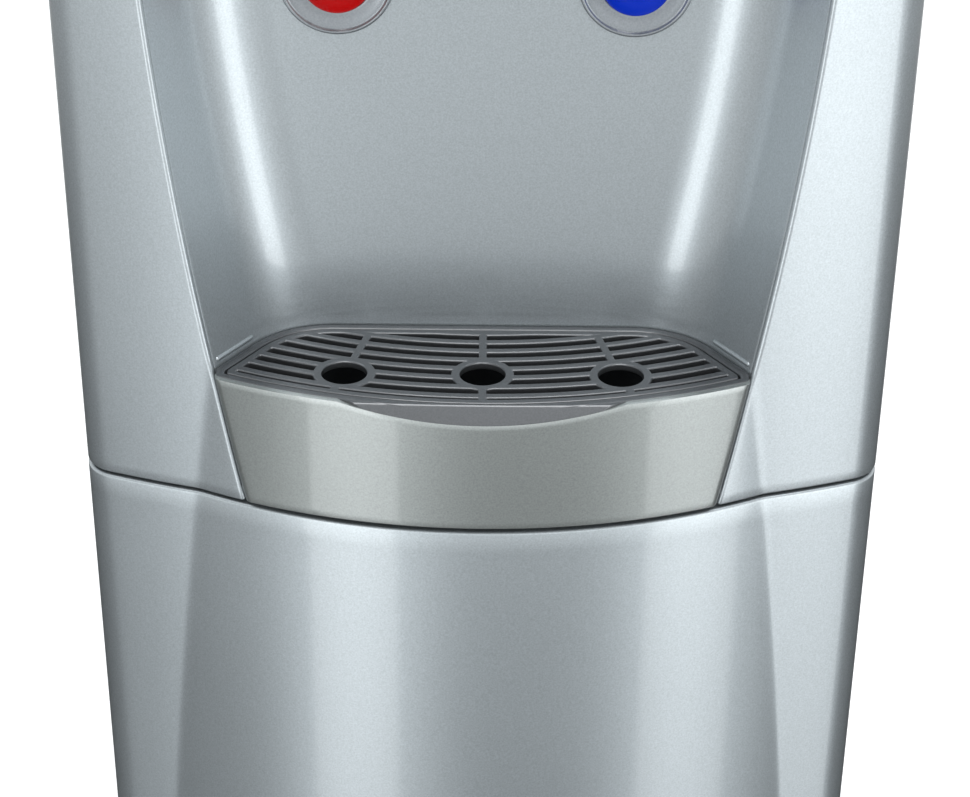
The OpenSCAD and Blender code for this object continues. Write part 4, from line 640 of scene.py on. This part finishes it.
def build_tray_front():
    edge_r, crest_r = 0.4, 0.15
    foot_gap, side_return, rear_drop = 2.3, 1.5, 3.0
    foot_z = SEAM_Z + foot_gap

    def rounded_side(z):
        """Where the face ends at a height, and the plan of the round side behind it."""
        reach = edge_x(z) - TRAY_GAP
        x = reach - TRAY_SIDE_R
        for _ in range(6):
            lean = math.asin(x / BELLY_R)
            x = reach - TRAY_SIDE_R + TRAY_SIDE_R * math.sin(lean)
        centre = (x - TRAY_SIDE_R * math.sin(lean), float(tray_front_y(x)) + TRAY_SIDE_R * math.cos(lean))
        turn = np.linspace(lean, math.pi / 2, 9)[1:]
        bend = TRAY_SIDE_R * np.column_stack([np.sin(turn), -np.cos(turn)]) + centre
        return x, np.vstack([bend, bend[-1] + [0.0, side_return]])

    top_reach, _ = rounded_side(TRAY_Z1)
    across = np.concatenate([np.linspace(0, SCOOP_W / 2, 34), np.linspace(SCOOP_W / 2, top_reach, 16)[1:]])
    side_count = len(rounded_side(TRAY_Z1)[1])
    top = np.concatenate([scoop_z(across), np.full(side_count, TRAY_Z1)])

    def row(share, lift, set_back):
        """Points at a share of the height, lifted and set back from the face."""
        points = []
        for i, crest in enumerate(top):
            z = foot_z + edge_r + (crest - foot_z - edge_r - crest_r) * share + lift
            reach, bend = rounded_side(min(z, TRAY_Z1))
            if i < len(across):
                x = across[i] * reach / top_reach
                points.append((x, float(tray_front_y(x)) + set_back, z))
            else:
                x, y = bend[i - len(across)]
                points.append((x, y + set_back, z))
        return points

    rows = [row(0, -edge_r, FRONT_T), row(0, -edge_r, edge_r)]
    rows += [row(0, d - edge_r, i) for i, d in reversed(rounding(edge_r, 4)[:-1])]
    rows += [row(t, 0, 0) for t in np.linspace(0, 1, 22)[1:-1]]
    rows += [row(1, crest_r - d, i) for i, d in rounding(crest_r, 3)]
    rows += [row(1, crest_r, FRONT_T), row(1, crest_r - rear_drop, FRONT_T)]
    patches = Patches()
    patches.grid(rows, mirrored=True)
    make_piece("tray_front_skin", patches, "tray", "warm_silver", ["tray_front"])


def tray_half(z, inset):
    """Plan of the basin's right half, from the middle of its front round to the middle of its back."""
    gap = TRAY_GAP + inset
    r = FILLET_R - gap
    foot_x, foot_y = fillet_x(z), ALCOVE_Y - FILLET_R
    side = (foot_x + r * math.cos(FLARE), foot_y + r * math.sin(FLARE))
    reach = edge_x(z) - gap
    front_x = np.concatenate([SCOOP_COLUMNS, np.linspace(SCOOP_COLUMNS[-1], reach, 25)[1:]])
    front = np.column_stack([front_x, tray_front_y(front_x, FRONT_T + inset)])
    knee = (reach, side[1] - (reach - side[0]) / math.tan(FLARE))
    turn = np.linspace(FLARE, math.pi / 2, 15)
    bend = np.column_stack([foot_x + r * np.cos(turn), foot_y + r * np.sin(turn)])
    back = [(foot_x * t, foot_y + r) for t in (0.66, 0.33, 0.0)]
    return np.vstack([front, [knee], bend, back])


def build_tray_basin():
    rim_r, floor_t, wall_step, lip_sunk = 0.7, 2.5, 12.0, 0.6
    floor_z = TRAY_Z0 + floor_t
    deep = RIM_W + LEDGE_W
    seat_z = TRAY_Z1 - GRILLE_T

    def ring(inset, z):
        row = at_height(tray_half(z, inset), z)
        front = row[: len(SCOOP_COLUMNS)]
        front[:, 2] = under_fingers(front[:, 0], front[:, 1], front[:, 2])
        return row

    def closing(row):
        middle_y = (TRAY_Y + ALCOVE_Y) / 2
        return np.tile([0.0, middle_y, row[-1][2]], (len(row), 1))

    wall = [ring(0.0, z) for z in (TRAY_Z0, TRAY_Z0 + wall_step, TRAY_Z1 - wall_step)]
    rim = [ring(i, TRAY_Z1 - d) for i, d in rounding(rim_r, 4)]
    rim += [ring(i, TRAY_Z1) for i in np.linspace(rim_r, RIM_W - rim_r, 9)[1:-1]]
    rim += [ring(RIM_W - i, TRAY_Z1 - d) for i, d in reversed(rounding(rim_r, 4))]
    rim += [ring(RIM_W, seat_z), ring(deep, seat_z)]
    patches = Patches()
    patches.grid([closing(wall[0]), *wall, *rim], mirrored=True)

    x = SCOOP_COLUMNS
    wall_y = tray_front_y(x, FRONT_T)
    reach = np.clip((TRAY_Z1 - scoop_z(x)) / LIP_FADE, 0, 1)
    edge_y = wall_y + (tray_front_y(x) + 0.1 - wall_y) * reach
    lip = [np.column_stack([x, edge_y, scoop_z(x) - lip_sunk])]
    for t in np.linspace(0, 1, 12):
        y = edge_y + (wall_y - edge_y) * t
        lip.append(np.column_stack([x, y, under_fingers(x, y, TRAY_Z1)]))
    patches.grid(lip, mirrored=True)
    make_piece("tray_basin_skin", patches, "tray", "dark_grey", ["tray_basin"])

    # Painted shade: the basin's inside below the grille seat is the same dark grey moulding, drawn here in
    # black plastic for the shadow under the grille
    shaded_well = Patches()
    inside = [ring(deep, seat_z), ring(deep, seat_z - 3), ring(deep, floor_z + 2)]
    inside += [ring(deep + 0.6, floor_z + 0.6), ring(deep + 2, floor_z)]
    shaded_well.grid([*inside, closing(inside[-1])], mirrored=True)
    make_piece("tray_well_painted_shade", shaded_well, "tray", "black_plastic")


# Dispensing buttons


def turned(profile, x, steps=72):
    """Rows of a profile of radius and rise, turned about the button's axis, which points forward."""
    turn = np.linspace(0, 2 * math.pi, steps + 1)
    return np.array(
        [[(x + r * math.cos(a), ALCOVE_Y - h, BUTTON_Z + r * math.sin(a)) for a in turn] for r, h in profile]
    )


def arc_points(centre, radius, start, end, steps):
    turn = np.radians(np.linspace(start, end, steps))
    return [(centre[0] + radius * math.cos(a), centre[1] + radius * math.sin(a)) for a in turn]


def build_buttons():
    dome_r = (BUTTON_R**2 + BUTTON_DOME**2) / (2 * BUTTON_DOME)
    edge = 1.0
    half = math.asin((BUTTON_R - edge * 0.55) / dome_r)
    rise = BUTTON_RIM + BUTTON_DOME - dome_r
    dome = [(dome_r * math.sin(a), rise + dome_r * math.cos(a)) for a in np.linspace(half, 0, 16)]
    stop_r, stop_front, stop_back = 14.8, -12.3, -14.3
    button = [(0.0, stop_back), (stop_r, stop_back), (stop_r, stop_front), (BUTTON_R, stop_front)]
    button += [(BUTTON_R, -4.0), (BUTTON_R, BUTTON_RIM - edge), (BUTTON_R - 0.12, BUTTON_RIM - 0.35), *dome]
    bore_r, sleeve_r, sleeve_back = 13.1, 16.0, -12.0
    dish = [(bore_r, sleeve_back), (sleeve_r, sleeve_back), (sleeve_r, 0.0), (20.8, 0.0), (21.1, 0.35)]
    dish += arc_points((20.3, 1.6), 0.8, 0, 145, 10)
    dish += arc_points((18.7, 2.72), 1.15, -35, -95, 6)
    dish += [(17.4, 1.36), (15.6, 1.08), (14.2, 0.98), (13.5, 0.94), (13.2, 0.8)]
    dish += [(bore_r, 0.5), (bore_r, sleeve_back)]
    for side, body, slot in ((-1, "hot", "red_button"), (1, "cold", "blue_button")):
        press = Patches()
        press.grid(turned(button, side * BUTTON_X))
        make_piece(f"{body}_button_cap", press, f"{body}_button", slot, [f"{body}_button"])
        ring = Patches()
        ring.grid(turned(dish, side * BUTTON_X))
        make_piece(f"{body}_dish_ring", ring, "cabinet", "dish_silver", [f"{body}_dish"])


def build_return_springs():
    """Coils behind the buttons."""
    turns, wire_r, coil_r = 5, 0.6, 7.0
    steps_per_turn, round_wire = 28, np.linspace(0, 2 * math.pi, 11)
    for side, button in ((-1, "hot"), (1, "cold")):
        low, high = (np.array(corner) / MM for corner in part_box(f"{button}_spring"))
        start, end = low[1] + wire_r, high[1] - wire_r
        climb = (end - start) / (2 * math.pi * turns)
        rows = []
        for t in np.linspace(0, 1, turns * steps_per_turn + 1):
            turn = 2 * math.pi * turns * t
            out = np.array([math.cos(turn), 0.0, math.sin(turn)])
            middle = [side * BUTTON_X, start + (end - start) * t, BUTTON_Z] + coil_r * out
            along = np.array([-coil_r * math.sin(turn), climb, coil_r * math.cos(turn)])
            over = np.cross(along / np.linalg.norm(along), out)
            rows.append([middle + wire_r * (math.cos(a) * out + math.sin(a) * over) for a in round_wire])
        ends = [np.tile(np.mean(row[:-1], axis=0), (len(round_wire), 1)) for row in (rows[0], rows[-1])]
        coil = Patches()
        coil.grid([ends[0], *rows, ends[1]])
        spring = make_piece(
            f"{button}_spring_coil", coil, "cabinet", "steel", [f"{button}_spring"], sharp=60.0
        )
        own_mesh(spring)


build_door_shell()
build_front_panel()
build_alcove_liner()
build_tray_front()
build_tray_basin()
build_buttons()
build_return_springs()


# Finish of the solids that stay

WIRE_NODES = {
    "condenser_tube",
    "condenser_wires",
    "evaporator_coil",
    "hot_hose",
    "cold_hose",
    "fridge_shelves",
}
# Edge roundings, and gaps closed first, in millimetres; a bevel in OPEN_BEVELS isn't held back by short edges
BEVELS = {"tray_grille": 0.7, "top_cover": 2.0, "base_pan": 1.2, "bottle_collar": 0.8}
COMMON_BEVEL, COMMON_WELD = 0.5, 0.01
OPEN_BEVELS = {"tray_grille"}
WELDS = {"tray_grille": 0.15}


def dress(node, slot):
    """Gives a solid its material, soft edges and smooth shading, through modifiers alone."""
    solid = frame["nodes"][node]
    solid.data.materials.clear()
    solid.data.materials.append(MATERIALS[slot])
    solid.data.shade_smooth()
    weld = solid.modifiers.new("Weld", "WELD")
    weld.merge_threshold = WELDS.get(node, COMMON_WELD) * MM
    if node in WIRE_NODES:
        split = solid.modifiers.new("Hard edges", "EDGE_SPLIT")
        split.split_angle = math.radians(50)
        return
    join = solid.modifiers.new("Flat faces joined", "DECIMATE")
    join.decimate_type = "DISSOLVE"
    join.angle_limit = math.radians(0.6)
    bevel = solid.modifiers.new("Soft edges", "BEVEL")
    bevel.width = BEVELS.get(node, COMMON_BEVEL) * MM
    bevel.segments = 3
    bevel.use_clamp_overlap = node not in OPEN_BEVELS
    bevel.limit_method = "ANGLE"
    bevel.angle_limit = math.radians(40)
    bevel.harden_normals = False
    solid.modifiers.new("Flat faces", "WEIGHTED_NORMAL")


for subpart in frame["record"]["subparts"]:
    dress(subpart["node"], subpart["material_slot"])


# Studio: pale floor, soft light from a tent, and the photograph's camera

# Softboxes, the glow round them and dark flags: azimuths, edge width, heights and tone;
# azimuth 0 is straight ahead of the door
SOFTBOXES = [
    ((-36.4, -17.6), 1.0, (-42, 14), 1.45),
    ((-38, -12), 12.0, (-42, 14), 0.7),
    ((35.0, 56), 1.0, (-40, 14), 1.45),
    ((33, 54), 13.0, (-40, 14), 0.8),
    ((0, 30), 12.0, (-14, 8), 0.8),
    ((-50, 50), 14.0, (36, 52), -0.6),
    ((74, 146), 12.0, (-40, -10), -0.3),
    ((-146, -72), 12.0, (-40, -10), -0.3),
    ((158, 181), 6.0, (-44, 40), 0.9),
    ((-181, -158), 6.0, (-44, 40), 0.9),
]
END_EDGE = 24.0
TENT_FLOOR = 0.03
# Heights in degrees above the horizon, and the tent's tone there
TENT_TONES = [
    (-90, 0.3),
    (-66, 0.22),
    (-48, 0.06),
    (-32, 0.09),
    (-20, 0.5),
    (-6, 0.9),
    (10, 0.85),
    (30, 0.55),
    (48, 0.6),
    (58, 1.3),
    (74, 1.2),
    (90, 1.05),
]


def add_window(tree, value, limits, edge_width):
    """One inside the limits, in degrees, and nothing outside, with soft edges."""
    sides = []
    for limit, way in zip(limits, (1, -1)):
        edge = add_node(tree, "ShaderNodeMapRange", interpolation_type="SMOOTHSTEP")
        edge.inputs["From Min"].default_value = math.radians(limit - way * edge_width)
        edge.inputs["From Max"].default_value = math.radians(limit + way * edge_width)
        tree.links.new(value, edge.inputs["Value"])
        sides.append(edge.outputs["Result"])
    return add_math(tree, "MULTIPLY", *sides)


def add_tent(tree, height):
    """Brightness of the tent by height above the horizon."""
    share = add_node(tree, "ShaderNodeMapRange")
    share.inputs["From Min"].default_value = -math.pi / 2
    share.inputs["From Max"].default_value = math.pi / 2
    tree.links.new(height, share.inputs["Value"])
    ramp = add_node(tree, "ShaderNodeValToRGB")
    elements = ramp.color_ramp.elements
    while len(elements) < len(TENT_TONES):
        elements.new(0.5)
    for element, (degrees, tone) in zip(elements, TENT_TONES):
        element.position = (degrees + 90) / 180
        element.color = (tone, tone, tone, 1)
    tree.links.new(share.outputs["Result"], ramp.inputs["Fac"])
    return ramp.outputs["Color"]


def build_world():
    world = bpy.data.worlds.new("Light tent")
    bpy.context.scene.world = world
    world.use_nodes = True
    tree = world.node_tree
    tent = tree.nodes["Background"]
    place = add_node(tree, "ShaderNodeTexCoord")
    split = add_node(tree, "ShaderNodeSeparateXYZ")
    tree.links.new(place.outputs["Generated"], split.inputs[0])
    ahead = add_math(tree, "MULTIPLY", split.outputs["Y"], -1.0)
    azimuth = add_math(tree, "ARCTAN2", split.outputs["X"], ahead)
    height = add_math(tree, "ARCSINE", split.outputs["Z"])
    tone = add_tent(tree, height)
    for across, side_edge, up, strength in SOFTBOXES:
        sides = add_window(tree, azimuth, across, side_edge)
        box = add_math(tree, "MULTIPLY", sides, add_window(tree, height, up, END_EDGE))
        tone = add_math(tree, "MULTIPLY_ADD", box, strength, tone)
    tree.links.new(add_math(tree, "MAXIMUM", tone, TENT_FLOOR), tent.inputs["Strength"])
    tent.inputs["Color"].default_value = (0.97, 1.0, 1.01, 1)
    backdrop = add_node(tree, "ShaderNodeBackground")
    backdrop.inputs["Color"].default_value = (1, 1, 1, 1)
    path = add_node(tree, "ShaderNodeLightPath")
    mix = add_node(tree, "ShaderNodeMixShader")
    seen = add_math(tree, "MAXIMUM", path.outputs["Is Camera Ray"], path.outputs["Is Transmission Ray"])
    tree.links.new(seen, mix.inputs[0])
    tree.links.new(tent.outputs[0], mix.inputs[1])
    tree.links.new(backdrop.outputs[0], mix.inputs[2])
    tree.links.new(mix.outputs[0], tree.nodes["World Output"].inputs["Surface"])


def build_floor():
    half = 6.0
    mesh = bpy.data.meshes.new("floor")
    corners = [(-half, -half, 0), (half, -half, 0), (half, half, 0), (-half, half, 0)]
    mesh.from_pydata(corners, [], [(0, 1, 2, 3)])
    floor = bpy.data.objects.new("floor", mesh)
    bpy.context.scene.collection.objects.link(floor)
    material = bpy.data.materials.new("Pale floor")
    material.use_nodes = True
    tree = material.node_tree
    shader = tree.nodes["Principled BSDF"]
    shader.inputs["Base Color"].default_value = (0.82, 0.82, 0.82, 1)
    shader.inputs["Roughness"].default_value = 0.9
    shader.inputs["Emission Color"].default_value = (1, 1, 1, 1)
    path = add_node(tree, "ShaderNodeLightPath")
    glow = add_math(tree, "MULTIPLY", path.outputs["Is Camera Ray"], 0.5)
    tree.links.new(glow, shader.inputs["Emission Strength"])
    mesh.materials.append(material)
    floor.visible_glossy = False


def build_lights():
    box = bpy.data.lights.new("Overhead softbox", "AREA")
    box.shape = "RECTANGLE"
    box.size, box.size_y = 1.6, 1.1
    box.energy = 22
    lamp = bpy.data.objects.new("Overhead softbox", box)
    lamp.matrix_world = Matrix.Translation((0.2, -1.1, 2.5)) @ Matrix.Rotation(math.radians(25), 4, "X")
    bpy.context.scene.collection.objects.link(lamp)


CAMERA_PLACE = (1.0 * MM, -911.4 * MM, 1025.2 * MM)
CAMERA_DOWN, CAMERA_ROLL = 29.688, 0.573
LENS, SENSOR_W = 87.6, 36.0


def build_camera():
    lens = bpy.data.cameras.new("Front camera")
    lens.sensor_fit = "HORIZONTAL"
    lens.sensor_width = SENSOR_W
    lens.lens = LENS
    camera = bpy.data.objects.new("Front camera", lens)
    bpy.context.scene.collection.objects.link(camera)
    place = Matrix.Translation(CAMERA_PLACE)
    pitch = Matrix.Rotation(math.radians(90 - CAMERA_DOWN), 4, "X")
    roll = Matrix.Rotation(math.radians(CAMERA_ROLL), 4, "Z")
    camera.matrix_world = place @ pitch @ roll
    bpy.context.scene.camera = camera


build_world()
build_floor()
build_lights()
build_camera()
bpy.context.scene.view_settings.view_transform = "Standard"
